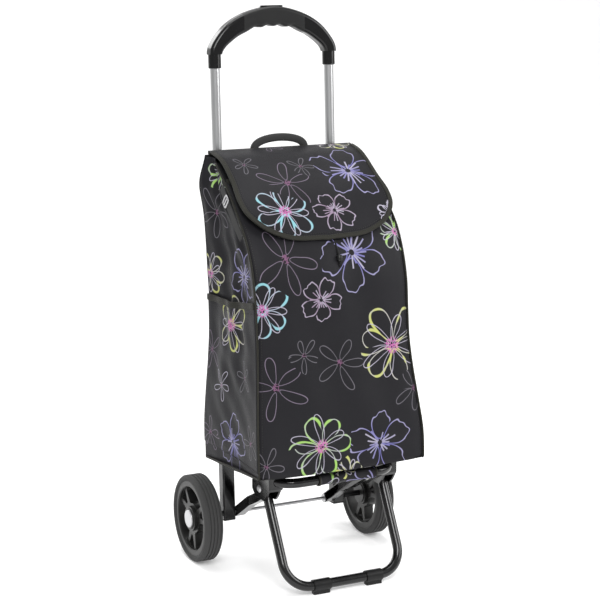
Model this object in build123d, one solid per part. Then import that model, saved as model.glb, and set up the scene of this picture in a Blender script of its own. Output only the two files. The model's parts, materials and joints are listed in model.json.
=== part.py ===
from build123d import *
import math
import os

# Folding shopping trolley: a leaning steel back frame on two wheels, a telescopic
# handle with an arched grip, a folding base with a stand leg, and a fabric bag.
# Millimetres. +Z is up, the front of the trolley faces -Y, and the origin is the
# middle of the footprint on the floor. The trolley is symmetric about X = 0 except
# where a piece says otherwise.

os.makedirs("parts", exist_ok=True)

# ---------------------------------------------------------------- driving sizes
AXLE_Y = 85.5                 # axle behind the middle of the footprint
AXLE_Z = 75.0                 # axle height, the wheel's radius
AXLE_R = 3.0
LEAN = 2.8                    # back frame leans back, degrees

WHEEL_R = 75.0
WHEEL_X = 164.4               # middle of a wheel
WHEEL_W = 33.0
RIM_R = 64.0                  # outside of the plastic rim
RIM_INNER_R = 54.7
HUB_R = 21.5
CAP_R = 15.3

UPRIGHT_X = 106.3             # middle of an upright
UPRIGHT_BACK = 5.0            # middle of an upright behind the axle, at axle height
UPRIGHT_W = 22.0
UPRIGHT_D = 20.0
UPRIGHT_WALL = 1.2
UPRIGHT_LOW = -10.5           # ends of an upright along its own length
UPRIGHT_TOP = 512.0

TUBE_R = 8.0                  # all round tubes are 16 mm across
TUBE_WALL = 1.0
PLUG_LOW = 440.0              # guide plug at the foot of a handle tube
PLUG_TOP = 480.0
SOCKET_LOW = 762.0            # grip socket, along the leaning tubes
TUBE_TOP = 788.0
GRIP_HALF_DEPTH = 13.0
GRIP_WALL = 4.0
SEAM_X = 56.0                 # where the soft middle of the grip starts
RUNNING = 0.05                # radial clearance of a turning or sliding fit

ARM_X = 79.0                  # inner edge of a side arm
ARM_W = 15.5
ARM_H = 16.0
ARM_WALL = 1.5
PIVOT = (-152.0, 88.5)        # stand pivot in front of and above the axle
LOOP_FRONT = -205.0           # platform loop
LOOP_UP = 107.0
LOOP_CORNER = 36.0
LEG_X = 107.0
LEG_FOOT = (-236.0, -61.0)    # bottom bar of the stand leg, from the axle
LEG_CORNER = 43.0
FOOT_R = 10.0

# Bag: height above the floor, half width, front and back, both from the axle.
BAG = [
    (180, 152.2, -228, -5.2),
    (250, 150.5, -222, -3.0),
    (300, 146.5, -212, -1.3),
    (350, 141.5, -202, 0.3),
    (400, 138.0, -195, 2.0),
    (500, 138.0, -184, 5.3),
    (550, 138.0, -167, 7.0),
    (585, 138.5, -146, 8.1),
]
BAG_TOP = [
    (620, 138.0, -112, 9.3),
    (655, 137.0, -72, 10.4),
    (690, 135.5, -22, 11.6),
]
BAG_FOOT = (202.0, 183.0)     # the sloping floor's height at its front and at its back
CLOTH = 3.0
FLAP_HINGE = (9.0, 703.0)     # from the axle, and above the floor
FLAP_HALF = 140.0              # half the uncut sheet
FLAP_T = 2.4


def save(node, shape):
    """Write one sub-part to its own STEP file."""
    pieces = shape if isinstance(shape, list) else [shape]
    solids = [solid for piece in pieces for solid in piece.solids()]
    body = solids[0] if len(solids) == 1 else Compound(children=solids)
    export_step(body, f"parts/{node}.step")


def along_x(radius, x0, x1, y, z):
    """A round bar along X between two places."""
    bar = Cylinder(radius, abs(x1 - x0))
    return Pos((x0 + x1) / 2, y, z) * Rot(0, 90, 0) * bar


def ring_x(outer, inner, x0, x1, y=AXLE_Y, z=AXLE_Z):
    """A tube along X between two places, on the axle unless told otherwise."""
    bore = along_x(inner, min(x0, x1) - 1, max(x0, x1) + 1, y, z)
    return along_x(outer, x0, x1, y, z) - bore


def mirrored(shape):
    """The same piece on the other side of the trolley."""
    return mirror(shape, about=Plane.YZ)


def save_pair(name, right):
    """Write the right piece and its mirror image, each to a file of its own."""
    save(f"{name}_right", right)
    save(f"{name}_left", mirrored(right))


def save_both(name, right):
    """Write a small piece and its mirror image to one file, as two solids."""
    save(name, [right, mirrored(right)])


# The back frame is drawn upright, with its length along Z from axle height, and
# then leaned back.
COLUMN = Pos(0, AXLE_Y + UPRIGHT_BACK, AXLE_Z) * Rot(-LEAN, 0, 0)


def slab(width, depth, low, top, x=0.0, y=0.0, corner=0.0):
    """An upright block in the column's frame, with rounded edges if asked."""
    outline = RectangleRounded(width, depth, corner) if corner else Rectangle(width, depth)
    return Pos(x, y, low) * extrude(outline, top - low)


def rod(radius, low, top, x=0.0, y=0.0):
    """An upright round bar in the column's frame."""
    return Pos(x, y, (low + top) / 2) * Cylinder(radius, top - low)


# ---------------------------------------------------------------- back frame
def make_upright():
    inner_w = UPRIGHT_W - 2 * UPRIGHT_WALL
    inner_d = UPRIGHT_D - 2 * UPRIGHT_WALL
    outer = slab(UPRIGHT_W, UPRIGHT_D, UPRIGHT_LOW, UPRIGHT_TOP, UPRIGHT_X, corner=2.5)
    inner = slab(inner_w, inner_d, UPRIGHT_LOW - 1, UPRIGHT_TOP + 1, UPRIGHT_X, corner=1.5)
    tube = outer - inner
    for height in (PLUG_LOW + 20, PLUG_LOW - 220):
        hole = Pos(UPRIGHT_X, UPRIGHT_D / 2, height) * Rot(90, 0, 0) * Cylinder(2.7, 6)
        tube -= hole
    tube = COLUMN * tube
    return tube - along_x(AXLE_R, 90, 125, AXLE_Y, AXLE_Z)


def make_upright_cap():
    plate = slab(UPRIGHT_W, UPRIGHT_D, UPRIGHT_LOW - 2.5, UPRIGHT_LOW, UPRIGHT_X, corner=2.5)
    inner_w = UPRIGHT_W - 2 * UPRIGHT_WALL
    inner_d = UPRIGHT_D - 2 * UPRIGHT_WALL
    plug = slab(inner_w, inner_d, UPRIGHT_LOW, UPRIGHT_LOW + 6, UPRIGHT_X, corner=1.5)
    return COLUMN * (plate + plug)


def make_collar():
    low = UPRIGHT_TOP - 22
    top = UPRIGHT_TOP + 4
    block = slab(UPRIGHT_W + 5, UPRIGHT_D + 5, low, top, UPRIGHT_X, corner=4)
    block = fillet(block.faces().sort_by(Axis.Z)[-1].edges(), 1.5)
    block -= slab(UPRIGHT_W, UPRIGHT_D, low - 1, UPRIGHT_TOP, UPRIGHT_X, corner=2.5)
    block -= rod(TUBE_R + RUNNING, low, top + 1, UPRIGHT_X)
    return COLUMN * block


def make_cross_bar(height):
    half = UPRIGHT_X - UPRIGHT_W / 2
    outline = RectangleRounded(10, 18, 2) - RectangleRounded(7.6, 15.6, 1)
    bar = Rot(0, 90, 0) * Rot(0, 0, 90) * extrude(outline, half, both=True)
    return COLUMN * (Pos(0, 0, height) * bar)


save_pair("upright", make_upright())
save_both("upright_caps", make_upright_cap())
save_both("tube_collars", make_collar())
CROSS_BARS = {"lower": 150.0, "upper": 470.0}
for label, height in CROSS_BARS.items():
    save(f"cross_bar_{label}", make_cross_bar(height))

frame_rivets = []
for height in CROSS_BARS.values():
    for side in (-1, 1):
        head_x = side * (UPRIGHT_X + UPRIGHT_W / 2)
        head = Pos(head_x, 0, height) * Rot(0, side * 90, 0) * Cone(4.5, 3, 1.8)
        frame_rivets.append(COLUMN * (Pos(side * 0.9, 0, 0) * head))
save("frame_rivets", frame_rivets)

# ---------------------------------------------------------------- axle
save("axle", along_x(AXLE_R, -178, 178, AXLE_Y, AXLE_Z))
save_both("axle_spacers", ring_x(5.0, AXLE_R, UPRIGHT_X + UPRIGHT_W / 2 + 0.1, 147.4))
clips = []
nuts = []
for side in (-1, 1):
    clips.append(ring_x(7.5, AXLE_R, side * (ARM_X - 2.2), side * (ARM_X - 0.7)))
    nuts.append(ring_x(7.0, AXLE_R, side * 173.5, side * 175.5))
save("axle_clips", clips)
save("axle_push_nuts", nuts)

# ---------------------------------------------------------------- wheels
SPOKES = (8, 128, 248)


def polar(radius, angle):
    """A place on the wheel's face."""
    turn = math.radians(angle)
    return (radius * math.cos(turn), radius * math.sin(turn))


def window(inner_r, outer_r, inner_half, outer_half, middle, corner):
    """An opening between two spokes, with arcs at the hub and at the rim."""
    near = [polar(inner_r, middle + k * inner_half) for k in (-1, 0, 1)]
    far = [polar(outer_r, middle + k * outer_half) for k in (1, 0, -1)]
    outline = ThreePointArc(*near) + Line(near[2], far[0])
    outline += ThreePointArc(*far) + Line(far[2], near[0])
    face = make_face(outline)
    return fillet(face.vertices(), corner)


def make_rim():
    plate = Circle(RIM_INNER_R + 1)
    for spoke in SPOKES:
        plate -= window(25.5, RIM_INNER_R, 35, 41.5, spoke + 60, 5.5)
        plate -= window(31.5, RIM_INNER_R - 1, 5.2, 12.8, spoke, 2.0)
    plate = extrude(plate, 9, both=True)
    hub = Cylinder(HUB_R, WHEEL_W - 3) + Cylinder(CAP_R + 2.5, WHEEL_W)
    hub = fillet(hub.edges().filter_by(GeomType.CIRCLE).sort_by(Axis.Z)[-1], 1)
    ring = Cylinder(RIM_R, WHEEL_W - 5) - Cylinder(RIM_INNER_R, WHEEL_W)
    ring = chamfer(ring.edges().filter_by(GeomType.CIRCLE).sort_by(SortBy.RADIUS)[:2], 1.5)
    rim = plate + hub + ring
    rim -= Cylinder(6.0, WHEEL_W + 2)
    rim -= Pos(0, 0, WHEEL_W / 2 - 4) * Cylinder(10.5, 8.01)
    return Pos(WHEEL_X, AXLE_Y, AXLE_Z) * Rot(0, 90, 0) * rim


def make_tyre():
    half = WHEEL_W / 2
    points = [(RIM_R, half - 2.5), (RIM_R + 2.5, half)]
    points += [(WHEEL_R - 4.5, half), (WHEEL_R - 1.2, half - 2.4)]
    grooves = 4
    pitch = 2 * (half - 4.5) / grooves
    for k in range(grooves):
        left = half - 4.5 - k * pitch
        points += [(WHEEL_R, left), (WHEEL_R, left - pitch + 2.4)]
        points += [(WHEEL_R - 1.6, left - pitch + 1.7), (WHEEL_R - 1.6, left - pitch + 0.7)]
    points += [(WHEEL_R, -half + 4.5), (WHEEL_R - 1.2, -half + 2.4), (WHEEL_R - 4.5, -half)]
    points += [(RIM_R + 2.5, -half), (RIM_R, -half + 2.5)]
    section = make_face(Plane.XZ * Polyline(*points, close=True))
    tyre = revolve(section, Axis.Z)
    return Pos(WHEEL_X, AXLE_Y, AXLE_Z) * Rot(0, 90, 0) * tyre


def make_hub_cap():
    disc = Pos(0, 0, 1.2) * Cylinder(CAP_R, 2.4)
    disc = fillet(disc.edges().sort_by(Axis.Z)[-1], 1.8)
    spigot = Pos(0, 0, -2) * (Cylinder(10.3, 4) - Cylinder(8.8, 5))
    return Pos(WHEEL_X + WHEEL_W / 2, AXLE_Y, AXLE_Z) * Rot(0, 90, 0) * (disc + spigot)


save_pair("wheel_rim", make_rim())
save_pair("tyre", make_tyre())
save_pair("hub_cap", make_hub_cap())
save_pair("hub_bush", ring_x(6.0, AXLE_R + RUNNING, 148.0, 172.5))

# ---------------------------------------------------------------- telescopic handle
def make_handle_tube():
    outer = rod(TUBE_R, PLUG_TOP, TUBE_TOP, UPRIGHT_X)
    return COLUMN * (outer - rod(TUBE_R - TUBE_WALL, PLUG_TOP - 1, TUBE_TOP + 1, UPRIGHT_X))


def make_guide_plug():
    width = UPRIGHT_W - 2 * UPRIGHT_WALL - 0.2
    depth = UPRIGHT_D - 2 * UPRIGHT_WALL - 0.2
    plug = slab(width, depth, PLUG_LOW, PLUG_TOP, UPRIGHT_X, corner=1.6)
    plug += rod(TUBE_R - TUBE_WALL, PLUG_TOP, PLUG_TOP + 15, UPRIGHT_X)
    plug -= rod(2.6, PLUG_LOW + 12, PLUG_TOP + 16, UPRIGHT_X)
    pin_hole = Pos(UPRIGHT_X, depth / 2 - 3, PLUG_LOW + 20) * Rot(90, 0, 0) * Cylinder(2.5, 6.2)
    return COLUMN * (plug - pin_hole)


def make_lock_pin():
    depth = UPRIGHT_D - 2 * UPRIGHT_WALL - 0.2
    pin = Pos(UPRIGHT_X, depth / 2 - 3.1, PLUG_LOW + 20) * Rot(90, 0, 0) * Cylinder(2.45, 5.8)
    pin = fillet(pin.edges().filter_by(GeomType.CIRCLE), 0.6)
    return COLUMN * pin


save_pair("handle_tube", make_handle_tube())
save_pair("guide_plug", make_guide_plug())
save_both("lock_pins", make_lock_pin())

# The grip is an arch in the plane of the tubes, drawn with its heights along them.
ARCH_FOOT = 785.0
ARCH_OUTER = [(117, ARCH_FOOT), (115.5, 796), (107, 811), (89, 831), (66, 846), (38, 856.5), (0, 862.5)]
ARCH_INNER = [(95.6, ARCH_FOOT), (93, 791), (81, 803), (64, 814.5), (44, 824)]
FINGER_WAVES = 4
FINGER_SPAN = 88.0


def arch_face():
    """The arch's outline, with finger waves along the underside."""
    right = ARCH_OUTER[:-1]
    left = [(-x, z) for x, z in reversed(right)]
    outer = Spline(*(right + [ARCH_OUTER[-1]] + left))
    waves = []
    steps = FINGER_WAVES * 2
    for k in range(1, steps):
        x = FINGER_SPAN / 2 - k * FINGER_SPAN / steps
        rise = 830.5 - 5.5 * (2 * x / FINGER_SPAN) ** 2
        waves.append((x, rise + (1.3 if k % 2 else -1.3)))
    inner_left = [(-x, z) for x, z in reversed(ARCH_INNER)]
    inner = Spline(*(ARCH_INNER + waves + inner_left))
    feet = Line(outer @ 0, inner @ 0) + Line(outer @ 1, inner @ 1)
    return make_face(outer + inner + feet)


def plain_arch(inset, half_depth, low):
    """A plain arch inside the outline, for the hollow and what moves in it."""
    right = [(x - inset * nx, z - inset * nz) for (x, z), (nx, nz) in zip(ARCH_OUTER, ARCH_NORMALS)]
    left = [(-x, z) for x, z in reversed(right[:-1])]
    outer = Spline(*(right + left))
    near = [(95.6 + inset, low), (94 + inset, 790), (81 + inset * 0.7, 803 + inset * 0.75)]
    near += [(62 + inset * 0.5, 814.5 + inset), (38, 823.5 + inset), (0, 829.5 + inset)]
    near_left = [(-x, z) for x, z in reversed(near[:-1])]
    inner = Spline(*(near + near_left))
    feet = Line(outer @ 0, inner @ 0) + Line(outer @ 1, inner @ 1)
    face = make_face(outer + inner + feet)
    return extrude(Plane.XZ * face, half_depth, both=True)


ARCH_NORMALS = [(1, 0), (0.95, 0.1), (0.8, 0.6), (0.6, 0.8), (0.43, 0.9), (0.3, 0.95), (0, 1)]
BUTTON_L = 40.0
BUTTON_W = 12.0
BUTTON_TOP = 864.2

arch = extrude(Plane.XZ * arch_face(), GRIP_HALF_DEPTH, both=True)
long_edges = arch.edges().filter_by(GeomType.BSPLINE)
arch = fillet(long_edges, 6.5)
hollow = plain_arch(GRIP_WALL, GRIP_HALF_DEPTH - GRIP_WALL, ARCH_FOOT)
slot = slab(BUTTON_L + 0.6, BUTTON_W + 0.6, 848, 870)


def make_elbow():
    keep = Pos(SEAM_X + 40, 0, 820) * Box(80, 40, 120)
    elbow = (arch - hollow) & keep
    socket = rod(10.75, SOCKET_LOW, ARCH_FOOT + 4, UPRIGHT_X)
    socket = fillet(socket.edges().filter_by(GeomType.CIRCLE).sort_by(Axis.Z)[0], 1.2)
    elbow += socket
    elbow -= rod(TUBE_R, SOCKET_LOW - 1, TUBE_TOP, UPRIGHT_X)
    return COLUMN * (elbow - rod(5.0, TUBE_TOP - 1, 797, UPRIGHT_X))


sleeve = (arch - hollow) & (Pos(0, 0, 840) * Box(2 * SEAM_X, 40, 120))
save_pair("grip_elbow", make_elbow())
save("grip_sleeve", COLUMN * (sleeve - slot))

# The button, the yoke under it and two push rods move down together.
YOKE_INSET = 8.2
yoke = plain_arch(YOKE_INSET, 4.0, 796)
yoke = yoke & (Pos(0, 0, 840) * Box(2 * 112, 20, 88))
# It is cut back where the arch's inner wall would meet it on its way down.
for press in (1.3, 2.6, 3.9):
    yoke -= Pos(0, 0, press) * (arch - hollow)
yoke = yoke.solids().sort_by(SortBy.VOLUME)[-1]
button = slab(BUTTON_L, BUTTON_W, 853.6, BUTTON_TOP, corner=4)
button = fillet(button.faces().sort_by(Axis.Z)[-1].edges(), 1.5)
save("push_button", COLUMN * (button - yoke))
save("release_yoke", COLUMN * yoke)
YOKE_FOOT = yoke.bounding_box().min.Z
save_both("push_rods", COLUMN * rod(2.0, PLUG_LOW + 20, YOKE_FOOT, UPRIGHT_X))

# ---------------------------------------------------------------- folding base
ARM_PATH = [(0, 0), (-54, 35), (-87, 51), (-119, 70), PIVOT]


def band(points, height):
    """A rounded strip of one height along a line of points, in the side view."""
    strip = Sketch()
    for (y0, z0), (y1, z1) in zip(points, points[1:]):
        run = math.hypot(y1 - y0, z1 - z0)
        turn = math.degrees(math.atan2(z1 - z0, y1 - y0))
        slot_shape = SlotCenterToCenter(run, height)
        strip += Pos((y0 + y1) / 2, (z0 + z1) / 2) * Rot(0, 0, turn) * slot_shape
    return strip


def side_view(sketch, x0, x1):
    """Extrude a side-view outline, given from the axle, between two X places."""
    plane = Plane(origin=(x0, AXLE_Y, AXLE_Z), x_dir=(0, 1, 0), z_dir=(1, 0, 0))
    return extrude(plane * sketch, x1 - x0)


def make_arm():
    arm = side_view(band(ARM_PATH, ARM_H), ARM_X, ARM_X + ARM_W)
    inside = side_view(band(ARM_PATH, ARM_H - 2 * ARM_WALL), ARM_X - 1, ARM_X + ARM_W - ARM_WALL)
    arm -= inside
    arm += ring_x(7.2, 5.5, ARM_X + 0.5, ARM_X + ARM_W - ARM_WALL)
    arm += ring_x(6.5, 3.0, ARM_X + 8, ARM_X + ARM_W - ARM_WALL, AXLE_Y + PIVOT[0], AXLE_Z + PIVOT[1])
    arm -= along_x(5.5, ARM_X - 1, ARM_X + ARM_W + 1, AXLE_Y, AXLE_Z)
    return arm - along_x(3.0, ARM_X - 1, ARM_X + ARM_W + 1, AXLE_Y + PIVOT[0], AXLE_Z + PIVOT[1])


BRACKET_IN = 95.0
BRACKET_OUT = 118.6
LEG_SLOT = TUBE_R + 0.4


def make_bracket():
    outline = Polyline((-189, 118), (-189, 96), (-178, 80), (-170, 72), (-136, 72), (-124, 82))
    outline += Polyline((-124, 82), (-124, 98), (-138, 105), (-160, 109), (-170, 118), (-189, 118))
    face = fillet(make_face(outline).vertices(), 3)
    block = side_view(face, BRACKET_IN, BRACKET_OUT)
    open_space = Polyline((-164, 100), (-143, 100), (-110, 92), (-110, 55), (-200, 55), (-200, 84))
    open_space += Line((-200, 84), (-164, 100))
    block -= side_view(make_face(open_space), LEG_X - LEG_SLOT, LEG_X + LEG_SLOT)
    block -= bent_bar(loop_points, TUBE_R, LOOP_CORNER)
    return block - along_x(3.0, 80, 130, AXLE_Y + PIVOT[0], AXLE_Z + PIVOT[1])


def bent_bar(points, radius, corner):
    """A solid round bar along a line of points with bends."""
    path = FilletPolyline(*points, radius=corner)
    start = Plane(origin=path @ 0, z_dir=path % 0)
    return sweep(start * Circle(radius), path=path)


def bent_tube(points, radius, corner):
    """A round steel tube along a line of points with bends."""
    return bent_bar(points, radius, corner) - bent_bar(points, radius - TUBE_WALL, corner)


def make_pin():
    y = AXLE_Y + PIVOT[0]
    z = AXLE_Z + PIVOT[1]
    shank = along_x(3.0 - 0.02, ARM_X + 8, BRACKET_OUT, y, z)
    head = Pos(BRACKET_OUT + 1.2, y, z) * Rot(0, 90, 0) * Cone(6.5, 4.0, 2.4)
    tail = along_x(5.0, ARM_X + 6.4, ARM_X + 8, y, z)
    return shank + head + tail


loop_y = AXLE_Y + LOOP_FRONT
loop_z = AXLE_Z + LOOP_UP
loop_end = AXLE_Y - 166
loop_points = [(-LEG_X, loop_end, loop_z), (-LEG_X, loop_y, loop_z)]
loop_points += [(LEG_X, loop_y, loop_z), (LEG_X, loop_end, loop_z)]
save_pair("side_arm", make_arm())
save_both("arm_bushes", ring_x(5.5, AXLE_R + RUNNING, ARM_X + 0.2, ARM_X + ARM_W))
save_pair("base_bracket", make_bracket())
save_both("pivot_pins", make_pin())
save("platform_loop", bent_tube(loop_points, TUBE_R, LOOP_CORNER))

STRAP_X0 = -38.0
STRAP_X1 = 68.0
strap = ring_x(TUBE_R + 2.2, TUBE_R + 0.1, STRAP_X0, STRAP_X1, loop_y, loop_z)
save("base_strap", strap)

# ---------------------------------------------------------------- stand leg
leg_y = AXLE_Y + PIVOT[0]
leg_z = AXLE_Z + PIVOT[1]
foot_y = AXLE_Y + LEG_FOOT[0]
foot_z = AXLE_Z + LEG_FOOT[1]
leg_points = [(-LEG_X, leg_y, leg_z), (-LEG_X + 1, foot_y, foot_z)]
leg_points += [(LEG_X - 1, foot_y, foot_z), (LEG_X, leg_y, leg_z)]
leg = bent_tube(leg_points, TUBE_R, LEG_CORNER)
for side in (-1, 1):
    eye = along_x(TUBE_R, side * (LEG_X - TUBE_R), side * (LEG_X + TUBE_R), leg_y, leg_z)
    leg += eye
leg -= along_x(3.0 + RUNNING, -130, 130, leg_y, leg_z)
save("stand_leg", leg)


def make_foot(x0, x1):
    sleeve_part = along_x(FOOT_R, x0, x1, foot_y, foot_z)
    sole = Pos((x0 + x1) / 2, foot_y, foot_z / 2) * Box(x1 - x0, 1.2 * FOOT_R, foot_z)
    sole = fillet(sole.edges().filter_by(Axis.Z), 2.5)
    foot = sleeve_part + sole
    return foot - along_x(TUBE_R, x0 - 1, x1 + 1, foot_y, foot_z)


save("stand_foot_left", make_foot(-62, -32))
save("stand_foot_right", make_foot(35, 64))

# ---------------------------------------------------------------- bag
def lofted(stations):
    """A panel through level rectangles, given as height, x0, x1, y0, y1."""
    sections = []
    for z, x0, x1, y0, y1 in stations:
        middle = ((x0 + x1) / 2, AXLE_Y + (y0 + y1) / 2, z)
        sections.append(Plane(origin=middle) * Rectangle(x1 - x0, y1 - y0))
    return loft(sections, ruled=True)


def make_side():
    stations = []
    for z, half, front, back in BAG + BAG_TOP:
        stations.append((z, half - CLOTH, half, front, back))
    return lofted(stations)


front = lofted([(z, CLOTH - half, half - CLOTH, y, y + CLOTH) for z, half, y, _ in BAG])
back = lofted([(z, CLOTH - half, half - CLOTH, y - CLOTH, y) for z, half, _, y in BAG + BAG_TOP])
# The floor stops just short of the walls, and the walls are cut off along it.
low_front = BAG[0][2] + CLOTH + 2.8
low_back = BAG[0][3] - CLOTH - 0.6
FLOOR_HALF = 148.0
FLOOR_T = 4.0
floor_front, floor_back = BAG_FOOT
floor_line = [(low_front, floor_front - AXLE_Z), (low_back, floor_back - AXLE_Z)]
floor_line += [(low_back, floor_back + FLOOR_T - AXLE_Z), (low_front, floor_front + FLOOR_T - AXLE_Z)]
bag_floor = side_view(make_face(Polyline(*floor_line, close=True)), -FLOOR_HALF, FLOOR_HALF)
below = [(low_front - 20, 0), (low_front - 20, floor_front - AXLE_Z), floor_line[0], floor_line[1]]
below += [(low_back + 20, floor_back - AXLE_Z), (low_back + 20, 0)]
below_floor = side_view(make_face(Polyline(*below, close=True)), -200, 200)
save("bag_front", front - below_floor)
save("bag_back", back - below_floor)
save_pair("bag_side", make_side() - below_floor)
save("bag_floor", bag_floor)

pocket_stations = []
for z, half, y0, y1 in BAG[1:5]:
    pocket_stations.append((z, -half - 2.6, -half - 0.6, y0 + 10, y1 - 8))
pocket_stations.append((462, -140.6, -138.6, -180, -4))
save("side_pocket", lofted(pocket_stations))

# Flap: a sheet that follows the sloping top and turns down over the front.
FLAP_LINE = [(9, 703), (-32, 694), (-80, 668), (-118, 639), (-149, 602), (-167, 569)]
FLAP_EDGE = [(132, 12), (132, -48), (133, -87), (136, -118)]
FLAP_EDGE += [(133, -134.5), (115, -151.5), (80, -161), (0, -166.5)]


def make_flap():
    side_line = Plane(origin=(0, AXLE_Y, 0), x_dir=(0, 1, 0), z_dir=(1, 0, 0))
    upper = Spline(*FLAP_LINE)
    lower_points = []
    for k, (y, z) in enumerate(FLAP_LINE):
        y_next, z_next = FLAP_LINE[min(k + 1, len(FLAP_LINE) - 1)]
        y_last, z_last = FLAP_LINE[max(k - 1, 0)]
        run = math.hypot(y_next - y_last, z_next - z_last)
        normal = ((z_last - z_next) / run, (y_next - y_last) / run)
        lower_points.append((y + FLAP_T * normal[0], z + FLAP_T * normal[1]))
    lower = Spline(*lower_points)
    ends = Line(upper @ 0, lower @ 0) + Line(upper @ 1, lower @ 1)
    sheet = extrude(make_face(side_line * (upper + lower + ends)), FLAP_HALF, both=True)
    left = [(-x, y) for x, y in reversed(FLAP_EDGE[:-1])]
    edge = Spline(*(FLAP_EDGE + left))
    outline = make_face(edge + Line(edge @ 0, edge @ 1))
    return sheet & extrude(Pos(0, AXLE_Y) * outline, 800)


save("flap", make_flap())

hem_y = AXLE_Y + FLAP_HINGE[0]
hem = Pos(0, hem_y + 1.9, FLAP_HINGE[1] - 6) * Box(2 * 133, 3, 8)
save("flap_seam", fillet(hem.edges().filter_by(Axis.X), 1.2))

# Carry handle behind the flap's seam.
HANDLE_Y = AXLE_Y + 16.9
HANDLE_HALF = 47.0
handle_points = [(-HANDLE_HALF, HANDLE_Y, 699), (0, HANDLE_Y, 720), (HANDLE_HALF, HANDLE_Y, 699)]
handle_arc = ThreePointArc(*handle_points)
handle_start = Plane(origin=handle_arc @ 0, x_dir=(0, 1, 0), z_dir=handle_arc % 0)
carry = sweep(handle_start * RectangleRounded(8, 13, 3), path=handle_arc)
save("carry_handle", carry)
tabs = []
for side in (-1, 1):
    tabs.append(Pos(side * HANDLE_HALF, AXLE_Y + 14.6, 684) * Box(24, 3.4, 20))
save("carry_handle_tabs", tabs)

# Hooks on the bag's back, over the upper cross bar.
def make_hook():
    lean_y = -20.4
    top = CROSS_BARS["upper"] + 9
    plate = slab(24, 2.6, top - 34, top + 6, 60, lean_y + 1.3)
    over = slab(24, 28.8, top + 1.5, top + 6, 60, lean_y + 14.4)
    down = slab(24, 2.6, top - 12, top + 6, 60, lean_y + 27.5)
    return COLUMN * (plate + over + down)


save_both("hang_hooks", make_hook())

# Side straps below the flap's edge, each with a slider near its upper end.
STRAP_TOP = (-58, 652)
STRAP_END = (-136, 578)
STRAP_RUN = math.hypot(STRAP_END[0] - STRAP_TOP[0], STRAP_END[1] - STRAP_TOP[1])
STRAP_TURN = math.degrees(math.atan2(STRAP_END[1] - STRAP_TOP[1], STRAP_END[0] - STRAP_TOP[0]))


def on_side(sketch, along, x):
    """Put an outline on the bag's side, some way along the strap's line."""
    y = STRAP_TOP[0] + along * (STRAP_END[0] - STRAP_TOP[0])
    z = STRAP_TOP[1] + along * (STRAP_END[1] - STRAP_TOP[1])
    plane = Plane(origin=(x, AXLE_Y, 0), x_dir=(0, 1, 0), z_dir=(1, 0, 0))
    return plane * (Pos(y, z) * Rot(0, 0, STRAP_TURN) * sketch)


save_both("side_straps", extrude(on_side(Rectangle(STRAP_RUN, 16), 0.5, 138.8), 1.6))
slider = extrude(on_side(RectangleRounded(30, 22, 5), 0.28, 140.5), 3)
slider = fillet(slider.faces().sort_by(Axis.X)[-1].edges(), 1)
save_both("strap_sliders", slider)

# Drawstring end: an eyelet in the front panel, the cord, its lock and its knot.
CORD_R = 2.0
LOCK_R = 5.8
cord_route = [(14, -152, 578), (14, -158.2, 571), (14.5, -164.5, 560)]
cord_route += [(15, -175, 548), (14, -181.5, 533)]
cord_points = [Vector(x, AXLE_Y + y, z) for x, y, z in cord_route]
cord_radii = []
for before, here, after in zip(cord_points, cord_points[1:], cord_points[2:]):
    run_in = here - before
    run_out = after - here
    shorter = min(run_in.length, run_out.length)
    half_turn = math.radians(run_in.get_angle(run_out)) / 2
    cord_radii.append(0.45 * shorter / math.tan(half_turn))
cord_path = FilletPolyline(*cord_points, radius=cord_radii)
cord_section = Plane(origin=cord_path @ 0, z_dir=cord_path % 0) * Circle(CORD_R)
drawstring = sweep(cord_section, path=cord_path)

lock_axis = cord_points[4] - cord_points[3]
lock_plane = Plane(origin=cord_points[3] + lock_axis * 0.55, z_dir=lock_axis)
lock = Cylinder(LOCK_R, 10.5) - Cylinder(CORD_R, 12)
lock = fillet(lock.edges().filter_by(GeomType.CIRCLE).sort_by(SortBy.RADIUS)[-2:], 1.5)
knot_plane = Plane(origin=cord_points[4] + lock_axis.normalized() * 2.6, z_dir=lock_axis)
eyelet_plane = Plane(origin=(14, AXLE_Y - 151, 578), z_dir=(0, -0.857, 0.514))
save("drawstring", drawstring)
save("cord_lock", lock_plane * lock)
save("cord_knot", knot_plane * Sphere(3.4) - drawstring)
save("cord_eyelet", eyelet_plane * (Cylinder(6, 1.2) - Cylinder(3.6, 2)))
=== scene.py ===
import json
import logging
import math
from collections.abc import Callable, Sequence
from dataclasses import dataclass
from enum import Enum
from functools import cached_property

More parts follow.
